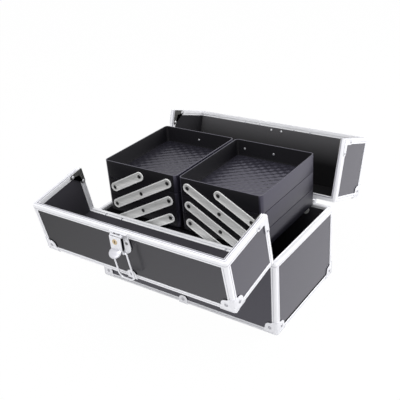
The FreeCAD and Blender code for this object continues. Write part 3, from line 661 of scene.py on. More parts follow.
@dataclass
class EdgeSection:
    """Cross-sections of the edge extrusions, as inset from one face and from the other."""

    skin: float = 1.0
    slot: float = 5.0
    lip: float = 1.0
    flange: float = 9.4
    round: float = 4.0
    arc_points: int = 8
    bevel: float = 0.3
    rim_body: float = 5.0
    rim_width: float = 8.4
    rim_nose: tuple[Span, ...] = ((0.0, 0.9), (0.25, 0.25), (0.9, 0.0))
    groove_place: float = 6.6
    groove_depth: float = 0.5
    groove_width: float = 0.9
    groove_lean: float = 0.2

    @property
    def core(self) -> float:
        """The depth of skin, slot and lip together."""
        return self.skin + self.slot + self.lip

    @property
    def steps(self) -> Axis:
        """Where the lip starts, where it ends and where the flange ends."""
        return self.core - self.lip, self.core, self.flange

    def outer_face(self) -> list[Axis]:
        """The grooved outer flange, from its free edge towards the corner, with painted shade in
        its groove.

        Returns:
            Profile points.
        """
        start, depth, lean = self.groove_place, self.groove_depth, self.groove_lean
        end = start - self.groove_width
        groove = [
            (0.0, start, SECOND), (depth, start - lean, SECOND), (depth, end + lean, SECOND),
            (0.0, end, 0),
        ]
        return plain([(self.bevel, self.flange), (0.0, self.flange - self.bevel)]) + groove

    def corner_arc(self) -> list[Axis]:
        """The rounded outer corner: radius * (1 - cos) and radius * (1 - sin) inside two faces."""
        turn = np.radians(np.linspace(0.0, 90.0, self.arc_points))
        return plain(self.round * (1.0 - np.column_stack([np.cos(turn), np.sin(turn)])))

    def corner(self) -> Array:
        """The bar along a corner, with a slot for a board on each of two faces.

        Returns:
            The profile with a finish number for each edge.
        """
        low, high, end = self.steps
        face = self.outer_face()
        inside = [
            (end, self.skin), (high, self.skin), (high, low), (end, low), (end, high), (high, high),
            (high, end), (low, end), (low, high), (self.skin, high), (self.skin, end),
        ]
        return np.array(face + self.corner_arc() + mirrored(face) + plain(inside))

    def bottom(self) -> Array:
        """The edge round the underside.

        Returns:
            Inset, height and finish number of each edge.
        """
        low, high, end = self.steps
        inside = [
            (high, 0.0), (high, self.slot), (end, self.slot), (end, low), (high, low), (high, end),
            (low, end), (low, high), (self.skin, high), (self.skin, end),
        ]
        return np.array(self.outer_face() + self.corner_arc() + plain(inside))

    def rim(self, mark: Sequence[Axis]) -> Array:
        """The rim of an opening.

        Args:
            mark: Profile points of a tongue or a groove on the meeting face.

        Returns:
            Inset, depth behind the meeting face and finish number of each edge.
        """
        low, high, end = self.steps
        width, body = self.rim_width, self.rim_body
        inside = [
            (width - self.bevel, 0.0), (width, self.bevel), (width, body), (high, body),
            (high, end), (low, end), (low, body), (self.skin, body), (self.skin, end),
        ]
        return np.array(self.outer_face() + plain(self.rim_nose) + list(mark) + plain(inside))


# Marks on the meeting face of a rim: inset, depth and finish number of the edge that follows.
# The second finish on these marks is painted shade in their grooves.
TONGUE = plain([(6.1, 0.0), (6.15, -0.8), (6.35, -1.0), (7.05, -1.0), (7.25, -0.8), (7.3, 0.0)])
SEAT = [(5.7, 0.0, SECOND), (5.7, 1.5, SECOND), (7.7, 1.5, SECOND), (7.7, 0.0, 0)]
LINE = [(3.0, 0.0, SECOND), (3.2, 0.5, SECOND), (3.8, 0.5, SECOND), (4.0, 0.0, 0), *SEAT]
SECTION = EdgeSection()


@dataclass
class CaseSizes:
    """Outer sizes of the case and the places of its hinges."""

    half_width: float = 182.5
    half_depth: float = 101.5
    base_height: float = 136.0
    lid_bottom: float = 136.6
    top: float = 246.6
    pin_y: float = 106.0
    pin_z: float = 136.3
    split: float = -9.0
    split_gap: float = 0.6
    front_angle: float = 100.5
    rear_angle: float = 109.5

    def swing(self, side: Side) -> Array:
        """The matrix that opens one lid about its hinge pins."""
        angle = self.front_angle if side is Side.FRONT else -self.rear_angle
        return turned_x(angle, side.value * self.pin_y, self.pin_z)

    def lid_depth(self, side: Side) -> float:
        """The depth of one lid from its wall to the split."""
        gap = 0.0 if side is Side.FRONT else self.split_gap
        return self.half_depth - side.value * self.split - gap

    def split_y(self, side: Side) -> float:
        """The y of one lid's meeting face along the split."""
        return side.value * (self.half_depth - self.lid_depth(side))

    def corner_place(self, hand: Hand, side: Side, level: float, sign: int = 1) -> Array:
        """A place on an upright edge: local x and y go inwards and local z up or, with -1, down."""
        spot = (hand.value * self.half_width, side.value * self.half_depth, level)
        return frame(spot, (-hand.value, 0, 0), (0, -side.value, 0), (0, 0, sign))


SIZES = CaseSizes()


class Piece:
    """Turns shells into finished objects that ride on the bodies of the frame."""

    @staticmethod
    def make(
        name: str, shells: Sequence[Shell], finishes: Sequence[Finish], body: str, slot: str,
        nodes: Sequence[str] = (), crease: float = 32.0,
    ) -> bpy.types.Object:
        """Makes one object.

        Args:
            name: The object's name.
            shells: Its surfaces, in place.
            finishes: Finishes by finish number.
            body: The body it rides on.
            slot: The material slot of the record for it; not used.
            nodes: The solids that it stands for.
            crease: Edges sharper than this many degrees stay crisp.

        Returns:
            The finished object.
        """
        whole = joined(shells)
        mesh = bpy.data.meshes.new(name)
        faces = [list(map(int, face)) for group in whole.faces for face in group]
        mesh.from_pydata((whole.points * MILLIMETRE).tolist(), [], faces)
        tones = [np.full(len(group), tone) for group, tone in zip(whole.faces, whole.tones)]
        mesh.polygons.foreach_set("material_index", np.concatenate(tones).astype(np.int32))
        work = bmesh.new()
        work.from_mesh(mesh)
        bmesh.ops.remove_doubles(work, verts=work.verts, dist=WELD)
        work.to_mesh(mesh)
        work.free()
        mesh.shade_smooth()
        mesh.set_sharp_from_angle(angle=math.radians(crease))
        for finish in finishes:
            mesh.materials.append(finish.material())
        item = bpy.data.objects.new(name, mesh)
        bpy.context.collection.objects.link(item)
        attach(item, body)
        if nodes:
            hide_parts(*nodes)
        LOG.info("%s: %d faces on %s", name, len(mesh.polygons), body)
        return item


@dataclass
class HingeRivets:
    """The rivets that hold the hinge leaves."""

    centres: Span = (-122.0, 122.0)
    spread: float = 17.75
    from_pin: float = 13.0
    leaf: float = 1.4

    @property
    def places(self) -> list[float]:
        """The x of each rivet of a row."""
        return [centre + way * self.spread for centre in self.centres for way in (-1, 1)]

    def heads(self, side: Side, level: float) -> list[Shell]:
        """The outer heads of the row on one side at a level."""
        y = side.value * (SIZES.half_depth + self.leaf)
        return [dome(*HEAD_SIZE).moved(wall_place((x, y, level), side.value)) for x in self.places]


HINGES = HingeRivets()

# Directions of local x and y and the way out on the three faces that meet in a corner.
FACE_WAYS = {
    "x": ((0, 1, 0), (0, 0, 1), (-1, 0, 0)),
    "y": ((0, 0, 1), (1, 0, 0), (0, -1, 0)),
    "z": ((1, 0, 0), (0, 1, 0), (0, 0, -1)),
}


@dataclass
class CornerCap:
    """A pressed corner cap with a round lobe and a rivet on each covered face.

    It is worked out from the corner inwards: local x, y and z are distances inside the three faces.
    """

    thick: float = 1.0
    length: float = 25.0
    band: float = 6.0
    lobe_radius: float = 9.0
    lobe_centre: float = 13.0
    web: float = 33.0
    round: float = 4.0
    lap: float = 0.3
    press: tuple[Span, ...] = ((0.0, 0.0), (0.0, 0.55), (0.12, 0.85), (0.4, 1.0))
    samples: int = 181
    least: float = 1e-6
    softening: int = 9
    wraps: int = 9

    def outline(self) -> Array:
        """The face of the cap in polar form.

        From the corner the edge lies at the end of the bands, length / cos or band / sin, on the
        far side of the lobe, d cos + sqrt(r^2 - d^2 sin^2), or on the web, w / (cos + sin),
        whichever is furthest out, softened by averaging.

        Returns:
            The outline, anticlockwise, with the inner corner last.
        """
        angle = np.linspace(0.0, np.pi / 2.0, self.samples)
        low = np.minimum(angle, np.pi / 2.0 - angle)
        end = self.length / np.cos(low)
        bands = np.minimum(end, self.band / np.maximum(np.sin(low), self.least))
        distance = self.lobe_centre * math.sqrt(2.0)
        lean = angle - np.pi / 4.0
        inside = self.lobe_radius**2 - (distance * np.sin(lean)) ** 2
        far = distance * np.cos(lean) + np.sqrt(np.maximum(inside, 0.0))
        lobe = np.where(inside > 0.0, far, 0.0)
        web = np.minimum(self.web / (np.cos(angle) + np.sin(angle)), end)
        reach = np.pad(np.maximum(np.maximum(bands, lobe), web), self.softening // 2, mode="edge")
        soft = np.convolve(reach, np.ones(self.softening) / self.softening, mode="valid")
        keep = np.minimum(np.cos(angle), np.sin(angle)) * soft > self.round
        edge = (soft[:, None] * np.column_stack([np.cos(angle), np.sin(angle)]))[keep][::2]
        return np.concatenate([edge, [[self.round, self.round]]])

    def shells(self, faces: str) -> list[Shell]:
        """The wrapped corner, its three edge strips and a plate on each named face.

        The corner is an eighth of a ball: its points lie a radius from the middle of the rounding.

        Args:
            faces: The covered faces, such as "xy".

        Returns:
            The shells in local distances.
        """
        middle, outer = self.round, self.round + self.thick
        turn = np.linspace(0.0, np.pi / 2.0, self.wraps)
        way = np.column_stack([np.cos(turn), np.sin(turn)])
        arc = np.concatenate([middle - outer * way, middle - (middle - self.lap) * way[::-1]])
        parts = []
        for x_way, y_way, out_way in FACE_WAYS.values():
            along = frame((0, 0, 0), x_way, y_way, tuple(-value for value in out_way))
            parts.append(bar(arc, along, self.round, self.length))
        polar, around = np.meshgrid(turn, turn, indexing="ij")
        flat = np.sin(polar)
        ball = np.stack([flat * np.cos(around), flat * np.sin(around), np.cos(polar)], axis=-1)
        core = np.full((self.wraps, 1, 3), middle)
        parts.append(carried(np.concatenate([middle - outer * ball, core], axis=1)))
        face = self.outline()
        for axis in faces:
            place = frame((0, 0, 0), *FACE_WAYS[axis])
            parts.append(stacked(face, self.press).moved(place))
            spot = place @ shift(self.lobe_centre, self.lobe_centre, self.thick - SINK)
            parts.append(dome(*HEAD_SIZE).toned(SECOND).moved(spot))
        return parts


@dataclass
class Clip:
    """A half-round clip tab with its rivet, in local x along the edge and y away from it."""

    half: float = 9.0
    straight: float = 8.0
    start: float = 0.6
    nick: float = 0.4
    thick: float = 1.0
    rivet_past: float = 1.0

    def shells(self) -> list[Shell]:
        """The tab and its rivet head.

        Returns:
            The shells in local distances.
        """
        y, rounds = (self.start, self.straight + self.half), (self.nick, self.half - EASE)
        tab = sheet(slab((-self.half, self.half), y, rounds, steps=10), self.thick)
        spot = shift(0.0, self.straight + self.rivet_past, self.thick - SINK)
        return [tab, dome(*HEAD_SIZE).toned(SECOND).moved(spot)]


@dataclass
class CornerPlate:
    """An L-shaped plate with two fixings, in local x and y along its arms."""

    length: float = 30.0
    band: float = 10.5
    thick: float = 1.0
    head_radius: float = 2.7
    head_rise: float = 1.0
    end_round: float = 4.5
    elbow_round: float = 2.0

    def shells(self) -> list[Shell]:
        """The plate and its two heads.

        Returns:
            The shells in local distances.
        """
        end, elbow, length, band = self.end_round, self.elbow_round, self.length, self.band
        corners = [
            (0.0, 0.0, elbow), (length, 0.0, end), (length, band, end),
            (band, band, elbow), (band, length, end), (0.0, length, end),
        ]
        parts = [sheet(filleted(corners), self.thick)]
        near, far = band / 2.0, length - band / 2.0
        for x, y in ((near, far), (far, near)):
            head = dome(self.head_radius, self.head_rise).toned(SECOND)
            parts.append(head.moved(shift(x, y, self.thick - SINK)))
        return parts


INNER_BRACKET = CornerPlate(length=28.0, band=9.0, thick=1.5, head_radius=3.0)


@dataclass
class BaseBox:
    """The lower box: edge extrusions, corner caps, clips and rivets."""

    shadow_strip_short: float = 12.0
    shadow_strip_half: float = 1.5
    shadow_strip_round: float = 0.4
    shadow_strip_thick: float = 0.4
    shadow_strip_soft: float = 0.1
    shadow_strip_sink: float = 0.1

    def edges(self) -> None:
        """Posts, top rim and bottom edge as grooved extrusions."""
        ends = SECTION.flange, SIZES.base_height - SECTION.flange
        places = [SIZES.corner_place(hand, side, 0.0) for hand in Hand for side in Side]
        posts = [bar(SECTION.corner(), place, *ends) for place in places]
        rim = SECTION.rim(TONGUE) * np.array([1.0, -1.0, 1.0])
        rim = rim + np.array([0.0, SIZES.base_height, 0.0])
        size = SIZES.half_width, SIZES.half_depth, SECTION.round
        for name, shells, node in (
            ("ribbed_posts", posts, "base_corner_posts"),
            ("ribbed_base_rim", [swept(rim, *size)], "base_top_rim"),
            ("ribbed_bottom_edge", [swept(SECTION.bottom(), *size)], "base_bottom_edges"),
        ):
            Piece.make(name, shells, [ALUMINIUM, GROOVE_SHADE], "base", "edge_aluminium", [node])

    def guards(self) -> None:
        """Corner caps and clip tabs along the bottom."""
        cap = CornerCap()
        parts = []
        for hand in Hand:
            for side in Side:
                parts += placed(cap.shells("xy"), SIZES.corner_place(hand, side, cap.thick))
        for side in Side:
            spot = (0, side.value * SIZES.half_depth, 0)
            parts += placed(Clip().shells(), wall_place(spot, side.value))
        Piece.make(
            "base_caps_and_clips", parts, [STEEL, RIVET], "base", "plated_steel",
            ["base_corner_guards"],
        )

    def rivets(self) -> None:
        """Hinge rivets on the walls."""
        level = SIZES.pin_z - HINGES.from_pin
        heads = [head for side in Side for head in HINGES.heads(side, level)]
        Piece.make("base_rivet_heads", heads, [RIVET], "base", "plated_steel", ["base_rivets"])

    def seam_shadows(self) -> None:
        """A dark strip of painted shadow where each end board meets the bottom edge."""
        half = SIZES.half_depth - SECTION.flange - self.shadow_strip_short
        outline = box_outline(half, self.shadow_strip_half, self.shadow_strip_round, steps=3)
        x = SIZES.half_width - SECTION.skin - self.shadow_strip_sink
        seam_shadows = []
        for hand in Hand:
            spot = (hand.value * x, 0, SECTION.flange + self.shadow_strip_half)
            seam_shadow = sheet(outline, self.shadow_strip_thick, self.shadow_strip_soft)
            seam_shadows.append(seam_shadow.moved(end_place(spot, hand.value)))
        Piece.make("end_seam_shadows", seam_shadows, [SHADE], "base", "charcoal_board")

    def build(self) -> None:
        """Builds the whole lower box."""
        self.edges()
        self.guards()
        self.rivets()
        self.seam_shadows()


@dataclass
class LidHalf:
    """One of the two lids."""

    side: Side
    tail_drop: float = 2.4
    bracket_rivets: tuple[float, ...] = (-71.5, -38.5, 38.5, 71.5)
    bracket_rivet_place: float = 9.0
    catch_rivets: Span = (-11.0, 11.0)
    catch_tail_place: float = 15.0
    catch_tail_rise: float = 1.0
    catch_span: Span = (15.0, 42.0)
    catch_half: float = 16.0
    catch_plate: float = 1.5
    catch_round: float = 2.0
    catch_screw_back: float = 6.0
    hook_span: Axis = (19.8, 21.5, 25.8)
    hook_levels: Axis = (0.5, 7.0, 8.5)
    hook_half: float = 9.0
    lining: float = 0.5
    lining_gap: float = 0.1
    lining_soft: float = 0.15
    lining_round: float = 1.0

    @property
    def label(self) -> str:
        """The first word of this lid's names."""
        return self.side.name.lower()

    @property
    def body(self) -> str:
        """The body that carries this lid."""
        return f"{self.label}_lid"

    def make(
        self, name: str, shells: Sequence[Shell], finishes: Sequence[Finish], slot: str,
        *nodes: str,
    ) -> None:
        """Swings shells open with the lid and makes them one object, named after the lid."""
        opened = placed(shells, SIZES.swing(self.side))
        Piece.make(f"{self.label}_{name}", opened, finishes, self.body, slot, nodes)

    def edges(self) -> None:
        """The long edge, the two uprights and the two side edges."""
        sign, profile, end = self.side.value, SECTION.corner(), SECTION.flange
        wall = sign * SIZES.half_depth
        place = frame((0, wall, SIZES.top), (0, -sign, 0), (0, 0, -1), (1, 0, 0))
        parts = [bar(profile, place, -SIZES.half_width, SIZES.half_width)]
        for hand in Hand:
            upright = SIZES.corner_place(hand, self.side, 0.0)
            parts.append(bar(profile, upright, SIZES.lid_bottom + end, SIZES.top - end))
            spot = (hand.value * SIZES.half_width, wall, SIZES.top)
            level = frame(spot, (-hand.value, 0, 0), (0, 0, -1), (0, -sign, 0))
            parts.append(bar(profile, level, end, SIZES.lid_depth(self.side) - end))
        finishes = [ALUMINIUM, GROOVE_SHADE]
        self.make("lid_ribbed_edges", parts, finishes, "edge_aluminium", f"{self.body}_edge_bars")

    def rims(self) -> None:
        """The rim on the base and the rim along the split."""
        sign, split_y = self.side.value, SIZES.split_y(self.side)
        half, depth, top, turn = SIZES.half_width, SIZES.half_depth, SIZES.top, SECTION.round
        place = frame((0, 0, SIZES.lid_bottom), (1, 0, 0), (0, sign, 0), (0, 0, 1))
        parts = [swept(SECTION.rim(SEAT), half, depth, turn, sign * split_y).moved(place)]
        hoop = swept(SECTION.rim(LINE), half, top, turn, SIZES.lid_bottom + SECTION.rim_body)
        parts.append(hoop.moved(wall_place((0, split_y, 0), sign)))
        finishes = [ALUMINIUM, GROOVE_SHADE]
        self.make("lid_ribbed_rims", parts, finishes, "edge_aluminium", f"{self.body}_rims")

    def guards(self) -> None:
        """Corner caps, the clip tab, and the plates and brackets where the rims meet."""
        sign, half = self.side.value, SIZES.half_width
        parts, inner = [], []
        for hand in Hand:
            place = SIZES.corner_place(hand, self.side, SIZES.top, -1)
            parts += placed(CornerCap().shells("xyz"), place)
            for x, out, plate, group in (
                (half, 1, CornerPlate(), parts),
                (half - SECTION.rim_width, -1, INNER_BRACKET, inner),
            ):
                spot = (hand.value * x, SIZES.split_y(self.side), SIZES.lid_bottom)
                place = frame(spot, (0, sign, 0), (0, 0, 1), (out * hand.value, 0, 0))
                group.extend(placed(plate.shells(), place))
        spot = (0, sign * SIZES.half_depth, SIZES.top)
        parts += placed(Clip().shells(), frame(spot, (1, 0, 0), (0, -sign, 0), (0, 0, 1)))
        for name, shells, finishes, slot, node in (
            ("lid_caps_and_plates", parts, [STEEL, RIVET], "plated_steel", "corner_guards"),
            ("lid_brackets", inner, [BRACKET, TAIL], "black_metal", "corner_brackets"),
        ):
            self.make(name, shells, finishes, slot, f"{self.body}_{node}")

    def rivets(self) -> None:
        """Hinge rivet heads outside and their tails on the inner face of the rim."""
        sign = self.side.value
        heads = HINGES.heads(self.side, SIZES.pin_z + HINGES.from_pin)
        y = sign * (SIZES.half_depth - SECTION.core)
        z = SIZES.lid_bottom + SECTION.flange - self.tail_drop
        heads += [dome(*TAIL_SIZE).moved(wall_place((x, y, z), -sign)) for x in HINGES.places]
        if self.side is Side.REAR:
            heads += self.fitting_tails()
        finishes = [RIVET, TAIL]
        self.make("lid_rivet_heads", heads, finishes, "plated_steel", f"{self.body}_rivets")

    def fitting_tails(self) -> list[Shell]:
        """Tails of the handle and catch rivets inside the rear lid.

        Returns:
            The tails on the closed lid.
        """
        split_y, z = SIZES.split_y(self.side), SIZES.top - SECTION.core
        tails = []
        for x in self.bracket_rivets:
            spot = (x, split_y + self.bracket_rivet_place, z)
            tails.append(dome(*TAIL_SIZE).moved(level_place(spot, -1)))
        for x in self.catch_rivets:
            spot = (x, split_y + self.catch_tail_place, z - self.lining)
            tail = dome(TAIL_SIZE[0], self.catch_tail_rise).toned(SECOND)
            tails.append(tail.moved(level_place(spot, -1)))
        return tails

    def catch(self) -> None:
        """The catch for the latch's loop: a plate seated on the board and a hook."""
        split_y, board = SIZES.split_y(self.side), SIZES.top - SECTION.skin
        near, far = self.catch_span
        thick = self.catch_plate + SECTION.skin
        plate = sheet(box_outline(self.catch_half, (far - near) / 2.0, self.catch_round), thick)
        parts = [plate.moved(shift(0.0, split_y + (near + far) / 2.0, board))]
        root, past, tip = self.hook_span
        foot, low, top = self.hook_levels
        hook = [(root, foot), (past, foot), (past, low), (tip, low), (tip, top), (root, top)]
        place = end_place((0, split_y, SIZES.top))
        parts.append(bar(np.array(hook), place, -self.hook_half, self.hook_half))
        for x in self.catch_rivets:
            spot = shift(x, split_y + far - self.catch_screw_back, board + thick - SINK)
            parts.append(screw_head(*SCREW_SIZE).toned(SECOND).moved(spot))
        self.make("lid_catch", parts, [STEEL, BRACKET], "plated_steel", "latch_catch")

    def cloth(self, half_x: float, half_y: float, place: Array) -> Shell:
        """A thin rectangle of lining in its place."""
        outline = box_outline(half_x, half_y, self.lining_round, steps=2)
        return sheet(outline, self.lining, self.lining_soft).moved(place)

    def linings(self) -> None:
        """Thin cloth over the inner faces of the boards and the lips of their edge bars."""
        sign = self.side.value
        seat, past = SECTION.core, SECTION.flange + self.lining_gap
        low, high = SIZES.lid_bottom + past, SIZES.top - seat
        mid_z, half_z = (low + high) / 2.0, (high - low) / 2.0
        near, far = seat, SIZES.lid_depth(self.side) - past
        mid_y, half_y = sign * (SIZES.half_depth - (near + far) / 2.0), (far - near) / 2.0
        half_x = SIZES.half_width - seat
        wall = wall_place((0, sign * (SIZES.half_depth - seat), mid_z), -sign)
        roof = level_place((0, mid_y, SIZES.top - seat), -1)
        parts = [self.cloth(half_x, half_z, wall), self.cloth(half_x, half_y, roof)]
        for hand in Hand:
            place = end_place((hand.value * half_x, mid_y, mid_z), -hand.value)
            parts.append(self.cloth(half_y, half_z, place).toned(SECOND))
        # Inside the rear lid the wall and roof take painted light and shade, and the ends take
        # painted shade.
        cloths = [LINING, LINING] if self.side is Side.FRONT else [REAR_LINING_LIT_AND_SHADED, END_LINING_SHADED]
        self.make("lid_lining", parts, cloths, "black_lining")

    def build(self) -> None:
        """Builds the whole lid."""
        self.edges()
        self.rims()
        self.guards()
        self.rivets()
        if self.side is Side.REAR:
            self.catch()
        self.linings()


@dataclass
class Latch:
    """The draw latch on the front lid: plate, lever with lock, and wire loop."""

    set_back: float = 3.2
    axis_height: float = 7.4
    plate_half: float = 16.0
    plate_length: float = 41.0
    plate_play: float = 0.2
    plate_nick: float = 1.0
    plate_press: tuple[Span, ...] = (
        (0.3, 0.0), (0.0, 0.3), (0.0, 1.2), (0.3, 1.5), (1.5, 1.5), (2.1, 1.0),
    )
    lip_span: Span = (0.5, 4.4)
    lip_rounds: Span = (0.2, 1.6)
    lip_thick: float = 1.2
    ear_foot: float = 0.8
    ear_nick: float = 0.1
    ear_near: float = 7.0
    ear_far: float = 8.6
    ear_round: float = 2.6
    fixing: Axis = (9.5, 20.0, 0.9)
    lever_half: float = 10.5
    lever_length: float = 22.0
    lever_low: float = 3.1
    lever_drop: float = 2.5
    shoulder: float = 1.6
    sheet_thick: float = 1.5
    tongue_half: float = 10.8
    tongue_root: Axis = (8.8, -0.6, 0.5)
    tongue_side: Span = (3.0, 4.0)
    tongue_length: float = 14.5
    tongue_middle: float = 0.52
    tongue_edge: Span = (0.5, 1.0)
    tongue_swell: float = 2.6
    tongue_turn: float = 84.0
    tongue_lift: float = 57.0
    open_angle: float = 8.0
    lock_place: float = 7.7
    lock_radius: float = 4.5
    lock_press: tuple[Span, ...] = (
        (0.0, 1.0), (0.0, 5.0), (0.3, 5.4), (1.0, 5.4), (1.3, 5.0), (4.0, 5.0),
    )
    key_level: float = 4.65
    key_half: Span = (0.6, 2.4)
    key_round: float = 0.5
    key_thick: float = 0.5
    loop_place: float = 27.0
    loop_root: float = 9.2
    loop_half: float = 14.5
    loop_length: float = 54.0
    loop_elbow: float = 2.2
    loop_waist: float = 0.4
    loop_bend: float = 9.0
    loop_lean: float = 11.0
    wire_radius: float = 1.5

    def lever_place(self) -> Array:
        """The matrix that takes lever coordinates to the opened lever."""
        axis = shift(0.0, SIZES.split - self.set_back, SIZES.top + self.axis_height)
        return SIZES.swing(Side.FRONT) @ axis @ turned_x(-self.open_angle)

    def plate(self) -> None:
        """The base plate with its rounded end, turned-up lip, ears and fixings."""
        half, last = self.plate_half, SIZES.split - self.plate_play
        x, y = (-half, half), (SIZES.split - self.plate_length, last)
        outline = slab(x, y, (half - EASE, self.plate_nick), steps=12)
        parts = [stacked(outline, self.plate_press).moved(shift(0.0, 0.0, SIZES.top))]
        lip = sheet(slab(x, self.lip_span, self.lip_rounds), self.lip_thick, soft=0.25)
        parts.append(lip.moved(wall_place((0, last, SIZES.top), -1)))
        axis, r = SIZES.split - self.set_back, self.ear_round
        y = (self.ear_foot, self.axis_height + r)
        outline = slab((axis - r, axis + r), y, (self.ear_nick, r - EASE), steps=8)
        ear = sheet(outline, self.ear_far - self.ear_near, soft=0.2)
        out, back, rise = self.fixing
        for sign in (-1, 1):
            parts.append(ear.moved(end_place((sign * self.ear_near, 0, SIZES.top), sign)))
            spot = shift(sign * out, SIZES.split - back, SIZES.top + rise)
            parts.append(screw_head(*SCREW_SIZE).toned(SECOND).moved(spot))
        Piece.make(
            "latch_plate_pressed", placed(parts, SIZES.swing(Side.FRONT)), [STEEL, BRACKET],
            "front_lid", "plated_steel", ["latch_base_plate"],
        )

    def channel(self) -> Array:
        """The lever's cross-section, with rounded shoulders.

        Returns:
            Local x and height of its outline.
        """
        low, drop, soft = self.lever_low, -self.lever_drop, self.shoulder
        x, z = self.lever_half - soft, low + self.sheet_thick - soft
        turn = np.radians(np.linspace(0.0, 90.0, 6))
        arc = np.column_stack([x + soft * np.cos(turn), z + soft * np.sin(turn)])
        outer = np.concatenate([[[self.lever_half, drop]], arc])
        near = self.lever_half - self.sheet_thick
        inner = [(-near, drop), (-near, low), (near, low), (near, drop)]
        return np.concatenate([outer, outer[::-1] * np.array([-1.0, 1.0]), inner])

    def tongue(self) -> Shell:
        """The swelling thumb tongue at the lever's end.

        Its outline shrinks about its middle as cos while its height grows as sin.

        Returns:
            The tongue in lever coordinates.
        """
        half, far, end = self.tongue_half, self.tongue_length, self.tongue_half - EASE
        root, side = self.tongue_root, (half, *self.tongue_side)
        right = [root, side, (half, far, end)]
        left = [(-x, y, r) for x, y, r in reversed(right)]
        outline = filleted([left[-1], *right, *left[:-1]], steps=10)
        turn = np.radians(np.linspace(0.0, self.tongue_turn, 9))
        low, high = self.tongue_edge
        swell = np.concatenate([[1.0, 1.0], np.cos(turn)])
        rise = np.concatenate([[0.0, low], high + self.tongue_swell * np.sin(turn)])
        middle = np.array([0.0, far * self.tongue_middle])
        rows = middle + (outline - middle) * swell[:, None, None]
        level = np.broadcast_to(rise[:, None, None], (*rows.shape[:2], 1))
        lift = math.radians(self.tongue_lift)
        along, out = (0, -math.cos(lift), math.sin(lift)), (0, math.sin(lift), math.cos(lift))
        place = frame((0, -self.lever_length, self.lever_low), (1, 0, 0), along, out)
        return carried(np.concatenate([rows, level], axis=-1)).moved(place)

    def lever(self) -> None:
        """The lever: a pressed channel with an eyed cheek on each side and a thumb tongue."""
        parts = [bar(self.channel(), wall_place((0, 0, 0), -1), 0.0, self.lever_length)]
        r, near = self.lever_drop, self.lever_half - self.sheet_thick
        eye = slab((-self.loop_place - r, r), (-r, r), (r - EASE, r - EASE))
        cheek = sheet(eye, self.sheet_thick, soft=0.15)
        parts += [cheek.moved(end_place((sign * near, 0, 0), sign)) for sign in (-1, 1)]
        parts.append(self.tongue().toned(SECOND))
        Piece.make(
            "latch_lever_pressed", placed(parts, self.lever_place()), [STEEL, TONGUE_STEEL],
            "latch_lever", "plated_steel", ["latch_lever"],
        )

    def lock(self) -> None:
        """The brass lock with a stepped face and a keyway, drawn as a dark sheet of painted shade.
        """
        outline = box_outline(*self.key_half, self.key_round, steps=4)
        key = sheet(outline, self.key_thick, soft=0.1).toned(SECOND)
        parts = [stacked(circle(self.lock_radius, count=32), self.lock_press)]
        parts.append(key.moved(shift(0.0, 0.0, self.key_level)))
        place = self.lever_place() @ shift(0.0, -self.lock_place, 0.0)
        Piece.make(
            "latch_lock_brass", placed(parts, place), [BRASS, SHADE], "lock_plug", "lock_brass",
            ["lock_plug"],
        )

    def loop(self) -> None:
        """The wire loop that hangs from the lever, with legs drawn in a little as sin(pi t)."""
        w, r, small = self.loop_half, self.loop_bend, self.loop_elbow
        low = self.loop_length - r
        elbow = np.radians(np.linspace(0.0, 90.0, 6))
        turn = np.radians(np.linspace(0.0, 90.0, 10))[1:]
        t = np.linspace(0.1, 1.0, 9)
        right = np.concatenate([
            [[self.loop_root, 0.0]],
            np.column_stack([w - small + small * np.sin(elbow), small * np.cos(elbow) - small]),
            np.column_stack([w - self.loop_waist * np.sin(np.pi * t), -small - t * (low - small)]),
            np.column_stack([w - r + r * np.cos(turn), -low - r * np.sin(turn)]),
        ])
        path = np.concatenate([right, right[::-1] * np.array([-1.0, 1.0])])
        eye = (self.lever_place() @ np.array([0.0, -self.loop_place, 0.0, 1.0]))[:3]
        place = shift(*eye) @ turned_x(90.0 + self.loop_lean)
        Piece.make(
            "latch_wire_loop", [wire(path, self.wire_radius).moved(place)], [STEEL], "latch_loop",
            "plated_steel", ["latch_loop"], crease=60.0,
        )

    def build(self) -> None:
        """Builds the latch."""
        self.plate()
        self.lever()
        self.lock()
        self.loop()


